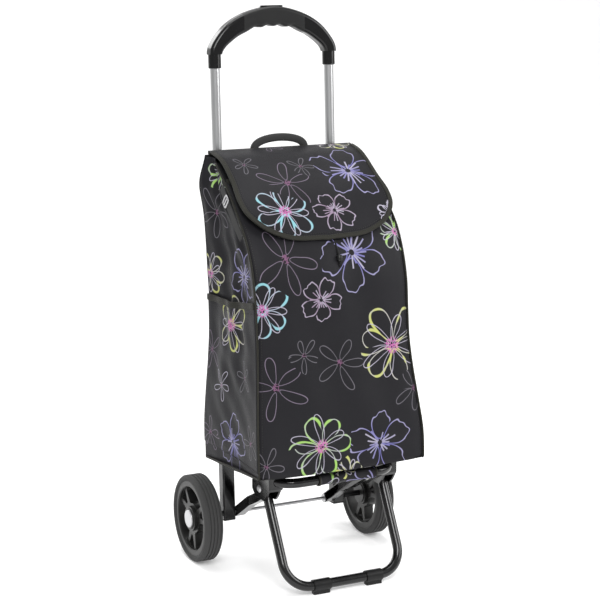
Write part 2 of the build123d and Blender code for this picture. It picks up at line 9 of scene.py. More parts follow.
import bmesh
import bpy
import numpy as np
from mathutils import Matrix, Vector

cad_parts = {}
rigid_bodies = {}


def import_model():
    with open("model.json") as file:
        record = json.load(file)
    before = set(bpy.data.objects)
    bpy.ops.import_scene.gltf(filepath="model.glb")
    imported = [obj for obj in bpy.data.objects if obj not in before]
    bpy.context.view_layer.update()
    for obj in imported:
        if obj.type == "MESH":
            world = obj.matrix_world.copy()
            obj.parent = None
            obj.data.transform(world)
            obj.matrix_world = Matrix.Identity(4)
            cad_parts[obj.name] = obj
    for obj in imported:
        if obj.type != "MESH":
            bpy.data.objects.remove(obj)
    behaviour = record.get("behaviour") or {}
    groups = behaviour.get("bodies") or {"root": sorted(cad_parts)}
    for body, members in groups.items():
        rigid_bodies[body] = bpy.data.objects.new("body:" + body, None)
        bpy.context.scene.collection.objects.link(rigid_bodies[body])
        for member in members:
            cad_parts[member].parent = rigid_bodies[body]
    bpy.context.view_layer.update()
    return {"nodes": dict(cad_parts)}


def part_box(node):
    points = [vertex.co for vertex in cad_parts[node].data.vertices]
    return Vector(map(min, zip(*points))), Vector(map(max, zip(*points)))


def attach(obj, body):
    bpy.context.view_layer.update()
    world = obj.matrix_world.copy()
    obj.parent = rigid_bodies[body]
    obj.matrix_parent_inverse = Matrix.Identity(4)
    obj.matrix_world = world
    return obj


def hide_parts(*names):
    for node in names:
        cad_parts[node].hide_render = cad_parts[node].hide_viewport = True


# A folding shopping trolley. The steel, the wheels and the grip are the frame's own
# solids with better finishes. The sewn bag, its flap, its tapes and its cord are made
# here. The scene is in metres, with heights from the floor, and the front faces -Y. The
# tables of the sewn shapes are in millimetres, with y measured from the axle.

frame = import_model()
LOG = logging.getLogger("trolley")

MM = 0.001
FULL_TURN = 2 * math.pi
AXLE_Y = sum(corner[1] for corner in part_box("axle")) / 2

Colour = tuple[float, float, float]
Point = tuple[float, float, float]
Number = "Wire | float"


# ------------------------------------------------------------------ shader maths
class Wire:
    """A node's output that takes part in ordinary arithmetic."""

    def __init__(self, board: "Board", socket: bpy.types.NodeSocket) -> None:
        """Keep the socket and the board that new nodes go on."""
        self.board = board
        self.socket = socket

    def _maths(self, operation: str, *values: Number) -> "Wire":
        """Add a Math node on these values."""
        return self.board.node("ShaderNodeMath", {"operation": operation}, dict(enumerate(values)))

    def __add__(self, other: Number) -> "Wire":
        """Sum."""
        return self._maths("ADD", self, other)

    __radd__ = __add__

    def __sub__(self, other: Number) -> "Wire":
        """Difference."""
        return self._maths("SUBTRACT", self, other)

    def __rsub__(self, other: Number) -> "Wire":
        """Difference the other way round."""
        return self._maths("SUBTRACT", other, self)

    def __mul__(self, other: Number) -> "Wire":
        """Product."""
        return self._maths("MULTIPLY", self, other)

    __rmul__ = __mul__

    def __truediv__(self, other: Number) -> "Wire":
        """Quotient."""
        return self._maths("DIVIDE", self, other)

    def __rtruediv__(self, other: Number) -> "Wire":
        """Quotient the other way round."""
        return self._maths("DIVIDE", other, self)

    def __lt__(self, other: Number) -> "Wire":
        """One where this is below the other."""
        return self._maths("LESS_THAN", self, other)

    def __gt__(self, other: Number) -> "Wire":
        """One where this is above the other."""
        return self._maths("GREATER_THAN", self, other)

    def __abs__(self) -> "Wire":
        """Size without sign."""
        return self._maths("ABSOLUTE", self)

    def call(self, operation: str, *others: Number) -> "Wire":
        """Any other Math operation, such as SINE, FLOOR, MINIMUM or SQRT."""
        return self._maths(operation, self, *others)

    def step(self, low: float, high: float) -> "Wire":
        """A smooth step.

        Args:
            low: Where the step starts, with result 0.
            high: Where it ends, with result 1. It may be below low.

        Returns:
            The stepped value, from 0 to 1.
        """
        settings = {"interpolation_type": "SMOOTHSTEP"}
        ends = {1: low, 2: high, 3: 0.0, 4: 1.0} if low < high else {1: high, 2: low, 3: 1.0, 4: 0.0}
        return self.board.node("ShaderNodeMapRange", settings, {0: self, **ends})


class Board:
    """A material's node tree, with one method that adds any node."""

    def __init__(self, tree: bpy.types.NodeTree) -> None:
        """Take the tree and find its surface shader."""
        self.tree = tree
        self.shader = next(n for n in tree.nodes if n.type == "BSDF_PRINCIPLED")

    def _feed(self, socket: bpy.types.NodeSocket, value: "Wire | float | Sequence[float]") -> None:
        """Link a wire to a socket, or set the socket's value.

        Args:
            socket: The socket.
            value: A wire, a number or a colour.
        """
        if isinstance(value, Wire):
            self.tree.links.new(value.socket, socket)
        elif socket.type == "RGBA":
            socket.default_value = (*value[:3], 1.0)
        else:
            socket.default_value = value

    def node(
        self,
        kind: str,
        settings: dict[str, object] | None = None,
        inputs: dict[int | str, object] | None = None,
        output: int | str = 0,
    ) -> Wire:
        """Add a node.

        Args:
            kind: The node's type.
            settings: Its properties, which are set before its sockets.
            inputs: Values or wires for its sockets, by place or name.
            output: Which output to hand back.

        Returns:
            The chosen output.
        """
        made = self.tree.nodes.new(kind)
        for name, value in (settings or {}).items():
            setattr(made, name, value)
        for name, value in (inputs or {}).items():
            self._feed(made.inputs[name], value)
        return Wire(self, made.outputs[output])

    def place(self) -> Wire:
        """The surface's place on the object, in metres."""
        return self.node("ShaderNodeTexCoord", output="Object")

    def flat(self) -> Wire:
        """The surface's place on the flat cloth, in metres."""
        return self.node("ShaderNodeUVMap", {"uv_map": "cloth"})

    def noise(self, where: Wire, scale: float, detail: float = 2.0) -> Wire:
        """Smooth noise of so many cycles a metre."""
        return self.node("ShaderNodeTexNoise", None, {"Vector": where, "Scale": scale, "Detail": detail})

    def chance(self, seed: Wire) -> Wire:
        """A number from 0 to 1 that belongs to the seed."""
        return self.node("ShaderNodeTexWhiteNoise", {"noise_dimensions": "1D"}, {"W": seed})

    def stretch(self, where: Wire, scale: Point) -> Wire:
        """The place, with each axis scaled."""
        return self.vector("MULTIPLY", where, scale)

    def vector(self, operation: str, *values: object, output: int | str = 0) -> Wire:
        """Add a Vector Math node."""
        inputs = dict(enumerate(values))
        return self.node("ShaderNodeVectorMath", {"operation": operation}, inputs, output)

    def parts(self, where: Wire) -> tuple[Wire, Wire, Wire]:
        """A vector's three numbers.

        Args:
            where: The vector.

        Returns:
            Its x, y and z.
        """
        split = self.node("ShaderNodeSeparateXYZ", None, {0: where})
        outputs = split.socket.node.outputs
        return Wire(self, outputs[0]), Wire(self, outputs[1]), Wire(self, outputs[2])

    def blend(self, factor: Number, first: object, second: object) -> Wire:
        """Mix two colours."""
        settings = {"data_type": "RGBA"}
        return self.node("ShaderNodeMix", settings, {0: factor, 6: first, 7: second}, output=2)

    def choose(self, factor: Number, first: object, second: object) -> Wire:
        """Mix two vectors."""
        settings = {"data_type": "VECTOR"}
        return self.node("ShaderNodeMix", settings, {0: factor, 4: first, 5: second}, output=1)

    def set(self, **values: object) -> None:
        """Feed the surface shader's sockets, with _ for a space."""
        for name, value in values.items():
            self._feed(self.shader.inputs[name.replace("_", " ")], value)

    def bump(self, height: Wire, depth: float, strength: float = 1.0) -> None:
        """Raise the surface by a height field, depth metres for a height of one."""
        inputs = {"Strength": strength, "Distance": depth, "Height": height}
        self.set(Normal=self.node("ShaderNodeBump", None, inputs))


# ------------------------------------------------------------------ finishes
@dataclass(frozen=True)
class Finish:
    """A surface finish. Its subclasses say how it is made."""

    name: str
    colour: Colour
    roughness: float

    def dress(self, board: Board) -> None:
        """Wire the surface up.

        Args:
            board: The material's board.
        """
        raise NotImplementedError

    def material(self) -> bpy.types.Material:
        """Return the finish's material, made once.

        Returns:
            The material.
        """
        made = bpy.data.materials.get(self.name)
        if made is None:
            made = bpy.data.materials.new(self.name)
            made.use_nodes = True
            self.dress(Board(made.node_tree))
        return made


@dataclass(frozen=True)
class Enamel(Finish):
    """Stoved gloss enamel on steel tube."""

    def dress(self, board: Board) -> None:
        """Fine orange peel, faint dust and a clear gloss.

        Args:
            board: The material's board.
        """
        where = board.place()
        dust = board.noise(where, 38.0, 4.0).step(0.45, 0.75)
        peel = board.noise(where, 420.0, 1.0)
        board.set(Base_Color=board.blend(dust * 0.3, self.colour, (0.014, 0.014, 0.0145)))
        board.set(Roughness=self.roughness + dust * 0.1, Specular_IOR_Level=0.4)
        board.set(Coat_Weight=0.12, Coat_Roughness=0.06)
        board.bump(peel, 0.00012, 0.4)


@dataclass(frozen=True)
class DrawnMetal(Finish):
    """Bare metal with drawing lines along its length."""

    lines: Point = (900.0, 900.0, 7.0)

    def dress(self, board: Board) -> None:
        """Long fine streaks in the roughness and the height.

        Args:
            board: The material's board.
        """
        streaks = board.noise(board.stretch(board.place(), self.lines), 1.0, 3.0)
        cloud = board.noise(board.place(), 22.0)
        dull = tuple(0.86 * part for part in self.colour)
        board.set(Base_Color=board.blend(streaks, dull, self.colour), Metallic=1.0)
        board.set(Roughness=self.roughness + streaks * 0.12 + cloud * 0.05)
        board.bump(streaks, 0.00004, 0.5)


@dataclass(frozen=True)
class Moulding(Finish):
    """Moulded plastic or rubber with a fine grain."""

    grain: float = 1500.0
    depth: float = 0.00006
    scuff: float = 0.25
    metallic: float = 0.0

    def dress(self, board: Board) -> None:
        """Spark-eroded grain, cloudy shine and a few pale scuffs.

        Args:
            board: The material's board.
        """
        where = board.place()
        grain = board.noise(where, self.grain, 2.0)
        cloud = board.noise(where, 30.0, 3.0)
        scuff = board.noise(board.stretch(where, (60.0, 160.0, 90.0)), 1.0, 5.0).step(0.6, 0.78)
        pale = tuple(min(1.0, part * 1.6 + 0.004) for part in self.colour)
        board.set(Base_Color=board.blend(scuff * self.scuff, self.colour, pale), Metallic=self.metallic)
        board.set(Roughness=self.roughness + (cloud - 0.5) * 0.16 + scuff * 0.08)
        board.set(Specular_IOR_Level=0.5 if self.metallic else 0.3)
        board.bump(grain, self.depth, 0.7)


@dataclass(frozen=True)
class Webbing(Finish):
    """Woven tape with ribs across it."""

    rib: float = 0.0016

    def dress(self, board: Board) -> None:
        """A ribbed weave that follows the flat tape.

        Args:
            board: The material's board.
        """
        across, along, _ = board.parts(board.flat())
        rate = FULL_TURN / self.rib
        weave = (across * rate).call("SINE") * (along * rate).call("SINE") * 0.5 + 0.5
        fluff = board.noise(board.place(), 260.0, 3.0)
        pale = tuple(part * 1.9 + 0.002 for part in self.colour)
        board.set(Base_Color=board.blend(weave * 0.5 + fluff * 0.3, self.colour, pale))
        board.set(Roughness=self.roughness + fluff * 0.1, Sheen_Weight=0.03, Specular_IOR_Level=0.16)
        board.bump(weave, 0.00022, 0.8)


class Bloom(Enum):
    """The kinds of flower in the print."""

    LILY = 0.0
    HIBISCUS = 1.0
    LOOPS = 2.0


LILAC = (0.150, 0.122, 0.165)
GREY = (0.110, 0.104, 0.120)
VIOLET = (0.135, 0.130, 0.330)
ORCHID = (0.240, 0.180, 0.250)
CYAN = (0.200, 0.420, 0.470)
YELLOW = (0.400, 0.420, 0.130)
LIME = (0.260, 0.440, 0.110)
PINK = (0.400, 0.120, 0.300)
WHITE = (0.340, 0.320, 0.390)


@dataclass(frozen=True)
class Flower:
    """One line-drawn flower, placed on the flat cloth in millimetres."""

    across: float
    up: float
    size: float
    kind: Bloom
    ink: Colour
    turn: float = 0.0


@dataclass(frozen=True)
class PrintCloth(Finish):
    """Dark woven polyester with a line-drawn flower print."""

    flowers: tuple[Flower, ...] = ()
    thread: float = 0.0007
    pen: float = 0.00085
    broad_pen: float = 0.0004
    loop_pen: float = 0.0002
    brush: float = 0.0017
    inner_pen: float = 0.0009
    rays: float = 19.0
    curl: float = 210.0

    def nearest(self, board: Board, flat: Wire) -> tuple[Wire, Wire, Wire]:
        """Find the flower that each place belongs to.

        Args:
            board: The material's board.
            flat: The place on the flat cloth.

        Returns:
            Its middle and size, its turn, kind and seed, and its ink.
        """
        best: Wire | None = None
        for seed, flower in enumerate(self.flowers):
            x, y, size = flower.across * MM, flower.up * MM, flower.size * MM
            middle = (x, y, size)
            facts = (flower.turn, flower.kind.value, float(seed))
            reach = board.vector("DISTANCE", flat, (x, y, 0.0), output=1) / size
            if best is None:
                best, where, what, ink = reach, board.vector("ADD", middle, (0, 0, 0)), facts, flower.ink
                continue
            closer = reach < best
            where = board.choose(closer, where, middle)
            what = board.choose(closer, what, facts)
            ink = board.blend(closer, ink, flower.ink)
            best = best.call("MINIMUM", reach)
        return where, what, ink

    def petals(
        self,
        board: Board,
        x: Wire,
        y: Wire,
        count: Number,
        turn: Number,
        shape: tuple[Number, Number, Number],
        seed: Wire,
        width: Number,
        size: Wire,
        wave: Number,
    ) -> Wire:
        """Draw a ring of petals as loops.

        Args:
            board: The material's board.
            x: Place across the flower, 1 at its edge.
            y: Place up the flower.
            count: How many petals.
            turn: Turn of the ring, in radians.
            shape: A petal's middle, half length and half width.
            seed: Number that makes this flower unlike the next.
            width: Line width in metres.
            size: The flower's radius in metres.
            wave: How much the edge waves.

        Returns:
            A mask that is 1 on the lines.
        """
        middle, long_half, wide_half = shape
        pitch = FULL_TURN / count
        angle = y.call("ARCTAN2", x) + turn
        index = (angle / pitch).call("ROUND")
        chance = board.chance(index + seed * 7.3)
        length = 1.0 - 0.24 * chance
        radius = (x * x + y * y).call("SQRT")
        bend = (chance - 0.5) * 0.5
        local = angle - index * pitch + bend * radius
        along = radius * local.call("COSINE") / length
        aside = radius * local.call("SINE")
        swell = (local * 10.0 + chance * 40.0).call("SINE")
        ripple = swell + (local * 23.0 + seed * 3.0).call("SINE") * 0.5
        edge = radius.step(0.45, 0.9) * wave
        along = along + ripple * edge
        reach_x = (along - middle) / long_half
        reach_y = aside / (wide_half * (0.55 + 0.6 * along))
        near = (reach_x * reach_x + reach_y * reach_y).call("SQRT")
        slope_x = reach_x / long_half
        slope_y = reach_y / wide_half
        slope = (slope_x * slope_x + slope_y * slope_y).call("SQRT")
        gap = abs(near * (near - 1.0) / slope) * size
        return (gap / width).step(1.0, 0.55)

    def drawing(self, board: Board, flat: Wire) -> Wire:
        """Return the cloth's colour with the flowers drawn on it.

        Args:
            board: The material's board.
            flat: The place on the flat cloth.

        Returns:
            The colour.
        """
        where, what, ink = self.nearest(board, flat)
        middle_x, middle_y, size = board.parts(where)
        turn, kind, seed = board.parts(what)
        shake = board.noise(flat, 28.0, 1.0) - 0.5
        flat_x, flat_y, _ = board.parts(flat)
        x = (flat_x - middle_x) / size + shake * 0.10
        y = (flat_y - middle_y) / size - shake * 0.08
        hibiscus = (kind > 0.5) * (kind < 1.5)
        loops = kind > 1.5
        lily = kind < 0.5
        radius = (x * x + y * y).call("SQRT")
        angle = y.call("ARCTAN2", x) + turn

        count = 5.0 + loops
        shape = (0.56 + 0.02 * hibiscus, 0.43, 0.15 + 0.17 * hibiscus + 0.09 * loops)
        press = board.noise(flat, 34.0, 1.0).step(0.42, 0.62)
        width = self.pen + self.broad_pen * hibiscus + loops * (self.loop_pen + self.brush * press)
        outer = self.petals(board, x, y, count, turn, shape, seed, width, size, hibiscus * 0.060)
        shape = (0.30 + 0.19 * loops, 0.24 + 0.17 * loops, 0.07 + 0.06 * loops)
        inner = self.petals(board, x, y, 6.0, turn + 0.5, shape, seed + 5.0, self.inner_pen, size, 0.0)
        inner = inner * loops

        spokes = angle * self.rays / FULL_TURN
        spoke = spokes.call("FLOOR")
        chance = board.chance(spoke + seed * 3.7)
        across = abs(spokes - spoke - 0.5)
        stroke = (across * radius).step(0.072, 0.045) * (radius < 0.22 + chance * 0.30) * (radius > 0.07)
        burst = stroke * hibiscus * (chance > 0.15)

        scribble = {"Vector": flat, "Scale": self.curl}
        curl = board.node("ShaderNodeTexVoronoi", {"feature": "DISTANCE_TO_EDGE"}, scribble)
        reach = radius / (1.0 - lily * 0.42)
        centre = curl.step(0.16, 0.07) * reach.step(0.22, 0.15) * (loops + lily * 0.6)

        inside = radius < 1.25
        pale = board.blend(hibiscus * radius.step(0.35, 0.8), ink, WHITE)
        worn = tuple(1.25 * part for part in self.colour)
        cloth = board.blend(board.noise(flat, 9.0, 3.0), self.colour, worn)
        tint = board.blend(hibiscus * 0.5, ink, pale)
        tint = board.blend(loops * (1.0 - press) * 0.75, tint, WHITE)
        cloth = board.blend(outer * inside * 0.95, cloth, tint)
        cloth = board.blend(inner * inside * 0.9, cloth, WHITE)
        cloth = board.blend(burst * 0.9, cloth, board.blend((chance * 7.0).call("FRACT"), ink, WHITE))
        core = board.blend(loops + lily * 0.45, ink, PINK)
        return board.blend(centre * 0.9, cloth, core)

    def dress(self, board: Board) -> None:
        """Print, plain weave and soft creases.

        Args:
            board: The material's board.
        """
        flat = board.flat()
        across, along, _ = board.parts(flat)
        rate = FULL_TURN / self.thread
        weave = (across * rate).call("SINE") * (along * rate).call("SINE")
        crease = board.noise(board.stretch(flat, (1.0, 0.55, 1.0)), 26.0, 4.0)
        board.set(Base_Color=self.drawing(board, flat), Specular_IOR_Level=0.10)
        board.set(Sheen_Weight=0.02, Sheen_Roughness=0.5)
        board.set(Roughness=self.roughness + weave * 0.04 + (crease - 0.5) * 0.12)
        board.bump(weave * 0.02 + crease, 0.0022, 0.35)


STEEL_BLACK = Enamel("gloss_black_enamel", (0.0025, 0.0025, 0.0028), 0.14)
TUBE_SATIN = DrawnMetal("satin_drawn_tube", (0.48, 0.485, 0.49), 0.22)
STEEL_BRIGHT = DrawnMetal("zinc_plated_steel", (0.45, 0.45, 0.46), 0.22, lines=(300.0, 300.0, 300.0))
PLASTIC_BLACK = Moulding("moulded_black_plastic", (0.004, 0.004, 0.0043), 0.36)
PLASTIC_GLOSS = Moulding("smooth_black_plastic", (0.0035, 0.0035, 0.0038), 0.15, depth=0.00002)
RIM_PLASTIC = Moulding("moulded_grey_rim", (0.014, 0.014, 0.0135), 0.34, grain=1100.0)
CAP_SILVER = Moulding(
    "silver_cap", (0.52, 0.52, 0.53), 0.22, grain=700.0, depth=0.00002, metallic=0.35,
)
TYRE_RUBBER = Moulding(
    "tyre_rubber", (0.0056, 0.0056, 0.0054), 0.46, grain=1300.0, depth=0.0001, scuff=0.4,
)
SOFT_RUBBER = Moulding("soft_grip_rubber", (0.0042, 0.0042, 0.0044), 0.40, grain=1700.0, depth=0.00009)
TAPE_BLACK = Webbing("black_webbing", (0.0048, 0.0048, 0.0046), 0.58)
TAPE_OLIVE = Webbing("olive_black_binding", (0.0115, 0.0112, 0.0085), 0.58, rib=0.0012)
THREAD_DARK = Webbing("sewing_thread", (0.018, 0.018, 0.016), 0.55, rib=0.0008)
LINING = Webbing("bag_lining", (0.007, 0.007, 0.008), 0.80, rib=0.0012)
CORD = Webbing("round_cord", (0.005, 0.005, 0.0053), 0.55, rib=0.0011)
CLOTH_DARK = (0.0105, 0.0102, 0.0120)

FLAP_PRINT = PrintCloth("printed_flap", CLOTH_DARK, 0.48, (
    Flower(-40, 116, 54, Bloom.LILY, LILAC, 0.3),
    Flower(-66, 174, 56, Bloom.LOOPS, CYAN, 0.35),
    Flower(22, 178, 42, Bloom.HIBISCUS, ORCHID, 0.6),
    Flower(80, 96, 66, Bloom.HIBISCUS, VIOLET, 0.2),
    Flower(-96, 62, 25, Bloom.LILY, GREY, 0.9),
    Flower(0, 78, 27, Bloom.LILY, GREY, 0.0),
    Flower(124, 192, 28, Bloom.LOOPS, WHITE, 0.4),
    Flower(96, -6, 38, Bloom.LOOPS, YELLOW, 0.7),
    Flower(-22, -4, 30, Bloom.LILY, LILAC, 0.5),
))
FRONT_PRINT = PrintCloth("printed_front", CLOTH_DARK, 0.48, (
    Flower(-79, 546, 62, Bloom.LILY, LILAC, 0.2),
    Flower(-126, 468, 52, Bloom.LOOPS, CYAN, 0.5),
    Flower(-25, 478, 41, Bloom.HIBISCUS, ORCHID, 0.1),
    Flower(40, 548, 64, Bloom.HIBISCUS, VIOLET, 0.5),
    Flower(102, 393, 72, Bloom.LOOPS, YELLOW, 0.2),
    Flower(-60, 392, 32, Bloom.LILY, GREY, 0.5),
    Flower(3, 374, 50, Bloom.LILY, GREY, 0.1),
    Flower(-113, 346, 58, Bloom.LILY, LILAC, 0.7),
    Flower(-41, 245, 62, Bloom.LOOPS, LIME, 0.0),
    Flower(66, 238, 62, Bloom.HIBISCUS, VIOLET, 0.9),
    Flower(140, 318, 44, Bloom.LILY, GREY, 0.3),
    Flower(-138, 222, 34, Bloom.LILY, GREY, 0.3),
    Flower(130, 573, 32, Bloom.LOOPS, LIME, 0.3),
    Flower(10, 192, 34, Bloom.LOOPS, YELLOW, 0.3),
))
SIDE_PRINT = PrintCloth("printed_side", CLOTH_DARK, 0.48, (
    Flower(-27, 606, 46, Bloom.LILY, GREY, 0.4),
    Flower(-122, 512, 52, Bloom.HIBISCUS, VIOLET, 0.3),
    Flower(-98, 430, 56, Bloom.LOOPS, YELLOW, 0.6),
    Flower(-14, 372, 38, Bloom.LILY, LILAC, 0.1),
    Flower(-66, 322, 32, Bloom.LILY, WHITE, 0.5),
    Flower(-150, 352, 30, Bloom.LILY, GREY, 0.0),
    Flower(-112, 236, 54, Bloom.HIBISCUS, VIOLET, 0.7),
    Flower(-40, 676, 40, Bloom.LOOPS, LIME, 0.2),
    Flower(-4, 500, 44, Bloom.LOOPS, YELLOW, 0.9),
    Flower(-190, 252, 34, Bloom.LILY, GREY, 0.2),
    Flower(-28, 232, 36, Bloom.LILY, LILAC, 0.8),
))


# ------------------------------------------------------------------ mesh helpers
class Smooth:
    """A smooth curve through a few stations."""

    def __init__(self, stations: Sequence[tuple[float, float]]) -> None:
        """Keep the stations in order, with a slope at each.

        Args:
            stations: Pairs of place and value.
        """
        ordered = sorted(stations)
        self.at = np.array([s[0] for s in ordered], float)
        self.value = np.array([s[1] for s in ordered], float)
        self.slope = np.gradient(self.value, self.at)

    def __call__(self, where: float) -> float:
        """Return the height of the curve, held level past its ends.

        Args:
            where: The place.

        Returns:
            The value there.
        """
        where = float(np.clip(where, self.at[0], self.at[-1]))
        k = int(np.clip(np.searchsorted(self.at, where) - 1, 0, len(self.at) - 2))
        run = self.at[k + 1] - self.at[k]
        t = (where - self.at[k]) / run
        low, high = self.value[k], self.value[k + 1]
        rise = self.slope[k] * run
        fall = self.slope[k + 1] * run
        near = (1 + 2 * t) * (1 - t) ** 2 * low + t * (1 - t) ** 2 * rise
        return near + t * t * (3 - 2 * t) * high + t * t * (t - 1) * fall


def spread(low: float, high: float, count: int) -> list[float]:
    """Evenly spaced values, both ends included."""
    return [low + (high - low) * k / (count - 1) for k in range(count)]


def turns(count: int) -> list[float]:
    """Angles evenly round a full turn, in radians."""
    return [FULL_TURN * k / count for k in range(count)]


def travelled(points: Sequence[Sequence[float]]) -> list[float]:
    """The distance along a path at each of its points.

    Args:
        points: The path's points.

    Returns:
        A distance for each point, from 0.
    """
    reach = [0.0]
    for here, there in zip(points, points[1:]):
        reach.append(reach[-1] + math.dist(here, there))
    return reach


def ease(value: float, low: float, high: float) -> float:
    """A smooth step from 0 at low to 1 at high."""
    t = min(1.0, max(0.0, (value - low) / (high - low)))
    return t * t * (3 - 2 * t)


def finish_mesh(name: str, build: bmesh.types.BMesh, finish: Finish) -> bpy.types.Object:
    """Turn a bmesh into a scene object with its finish.

    Args:
        name: The piece's name.
        build: The mesh, which is freed.
        finish: What it is made of.

    Returns:
        The new object.
    """
    mesh = bpy.data.meshes.new(name)
    build.to_mesh(mesh)
    build.free()
    for face in mesh.polygons:
        face.use_smooth = True
    piece = bpy.data.objects.new(name, mesh)
    bpy.context.scene.collection.objects.link(piece)
    mesh.materials.append(finish.material())
    return piece


def thicken(piece: bpy.types.Object, thickness: float) -> bpy.types.Object:
    """Give a sheet its thickness, inwards, with plain lining on its inner face.

    Args:
        piece: The sheet.
        thickness: How thick it gets, in metres.

    Returns:
        The same sheet.
    """
    piece.data.materials.append(LINING.material())
    shell = piece.modifiers.new("thickness", "SOLIDIFY")
    shell.thickness = thickness
    shell.offset = -1.0
    shell.material_offset = 1
    return piece


def sheet_mesh(
    name: str,
    finish: Finish,
    place: Callable[[float, float], Point],
    flat: Callable[[float, float], tuple[float, float]],
    across: Sequence[float],
    along: Sequence[float],
    thickness: float,
) -> bpy.types.Object:
    """Make a sheet of cloth from a grid, with its flat place kept for the print.

    Args:
        name: The piece's name.
        finish: Its cloth.
        place: Gives a point in space for each pair of grid values.
        flat: Gives the place on the flat cloth for the same pair.
        across: The grid values one way.
        along: The grid values the other way.
        thickness: The cloth's thickness, given inwards.

    Returns:
        The sheet.
    """
    build = bmesh.new()
    layer = build.loops.layers.uv.new("cloth")
    rows = [[build.verts.new(place(u, v)) for u in across] for v in along]
    for j in range(len(along) - 1):
        for i in range(len(across) - 1):
            corners = [(i, j), (i + 1, j), (i + 1, j + 1), (i, j + 1)]
            face = build.faces.new([rows[b][a] for a, b in corners])
            for loop, (a, b) in zip(face.loops, corners):
                loop[layer].uv = flat(across[a], along[b])
    piece = finish_mesh(name, build, finish)
    return thicken(piece, thickness)


def ribbon(
    name: str,
    finish: Finish,
    path: Sequence[Vector],
    normals: Sequence[Vector] | Vector,
    section: Sequence[tuple[float, float]],
    closed: bool = False,
) -> bpy.types.Object:
    """Sweep a closed section along a path.

    Args:
        name: The piece's name.
        finish: What it is made of.
        path: The points that it follows.
        normals: The outward direction at each point, or one for them all.
        section: The section's points, as (sideways, outwards).
        closed: Whether the path joins up.

    Returns:
        The swept piece, capped at its ends.
    """
    build = bmesh.new()
    layer = build.loops.layers.uv.new("cloth")
    count, size = len(path), len(section)
    outs = [normals] * count if isinstance(normals, Vector) else normals
    along = travelled([*path, path[0]])
    around = travelled([*section, section[0]])
    rings = []
    for k in range(count):
        before = path[k - 1] if (k or closed) else path[0]
        after = path[(k + 1) % count] if (k < count - 1 or closed) else path[-1]
        ahead = (after - before).normalized()
        side = ahead.cross(outs[k]).normalized()
        out = side.cross(ahead).normalized()
        rings.append([build.verts.new(path[k] + side * a + out * b) for a, b in section])
    for k in range(count if closed else count - 1):
        ring, following = rings[k], rings[(k + 1) % count]
        for i in range(size):
            after = (i + 1) % size
            face = build.faces.new([ring[i], ring[after], following[after], following[i]])
            corners = [(i, k), (i + 1, k), (i + 1, k + 1), (i, k + 1)]
            for loop, (a, b) in zip(face.loops, corners):
                loop[layer].uv = (around[a], along[b])
    if not closed:
        build.faces.new(list(reversed(rings[0])))
        build.faces.new(rings[-1])
    bmesh.ops.recalc_face_normals(build, faces=build.faces)
    return finish_mesh(name, build, finish)


def oval(wide: float, thick: float, sides: int = 12, power: float = 2.0) -> list[tuple[float, float]]:
    """Points of an oval section, squarer for a higher power.

    Args:
        wide: Its width.
        thick: Its thickness.
        sides: How many points.
        power: 2 for an ellipse, more for a squarer section.

    Returns:
        The points in order.
    """
    points = []
    for turn in turns(sides):
        c, s = math.cos(turn), math.sin(turn)
        a = math.copysign(abs(c) ** (2 / power), c) * wide / 2
        b = math.copysign(abs(s) ** (2 / power), s) * thick / 2
        points.append((a, b))
    return points


def stitches(
    name: str,
    path: Sequence[Vector],
    normals: Sequence[Vector] | Vector,
    body: str,
    pitch: float = 0.0042,
) -> bpy.types.Object:
    """Sew a row of stitches along a path.

    Args:
        name: The piece's name.
        path: The points that the row follows.
        normals: The outward direction at each point, or one for them all.
        body: The body that it rides on.
        pitch: The spacing of the stitches.

    Returns:
        All the stitches as one piece.
    """
    build = bmesh.new()
    build.loops.layers.uv.new("cloth")
    outs = [normals] * len(path) if isinstance(normals, Vector) else normals
    wide, thick, proud, share = 0.00045, 0.00035, 0.00025, 0.34
    reach = 0.0
    for here, there, out in zip(path, path[1:], outs):
        run = (there - here).length
        while reach < run:
            ahead = (there - here) / run
            side = ahead.cross(out).normalized()
            middle = here + ahead * reach + out * proud
            ends = [build.verts.new(middle + ahead * (k * pitch * share)) for k in (-1, 1)]
            ring = []
            for a, b in ((1, 0), (0, 1), (-1, 0), (0, -1)):
                ring.append(build.verts.new(middle + side * (a * wide) + out * (b * thick)))
            for k in range(4):
                build.faces.new([ends[1], ring[k], ring[(k + 1) % 4]])
                build.faces.new([ends[0], ring[(k + 1) % 4], ring[k]])
            reach += pitch
        reach -= run
    bmesh.ops.recalc_face_normals(build, faces=build.faces)
    piece = finish_mesh(name, build, THREAD_DARK)
    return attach(piece, body)


# ------------------------------------------------------------------ the sewn bag
@dataclass(frozen=True)
class BagShape:
    """The bag's outside, by height above the floor.

    Attributes:
        half: Half its width.
        front: Its front face, from the axle.
        back: Its back face, from the axle.
    """

    half: Smooth
    front: Smooth
    back: Smooth

    @classmethod
    def sewn(cls) -> "BagShape":
        """The shape that the filled bag hangs in, from its floor to its open top.

        Returns:
            The shape, from rows of height, half width, front and back.
        """
        rows = (
            (192, 151, -226, -5.0), (250, 150.5, -222, -3.0), (300, 146.5, -212, -1.3),
            (350, 141.5, -202, 0.3), (400, 138, -194, 2.0), (450, 137.5, -189, 3.6),
            (500, 138, -183, 5.3), (550, 138, -167, 7.0), (585, 138.5, -146, 8.1),
            (620, 138, -112, 9.3), (655, 137, -72, 10.4), (690, 135.5, -22, 11.6),
        )
        return cls(
            Smooth([(z, half) for z, half, _, _ in rows]),
            Smooth([(z, front) for z, _, front, _ in rows]),
            Smooth([(z, back) for z, _, _, back in rows]),
        )


BAG = BagShape.sewn()
FOOT_FRONT = 201.5
FOOT_BACK = 182.5
FRONT_TOP = 660.0
SIDE_TOP = 694.0
SEAM_ROUND = 5.0


def row_point(x: float, y: float, z: float) -> Point:
    """A point in metres, from millimetres with y measured from the axle."""
    return (x * MM, AXLE_Y + y * MM, z * MM)


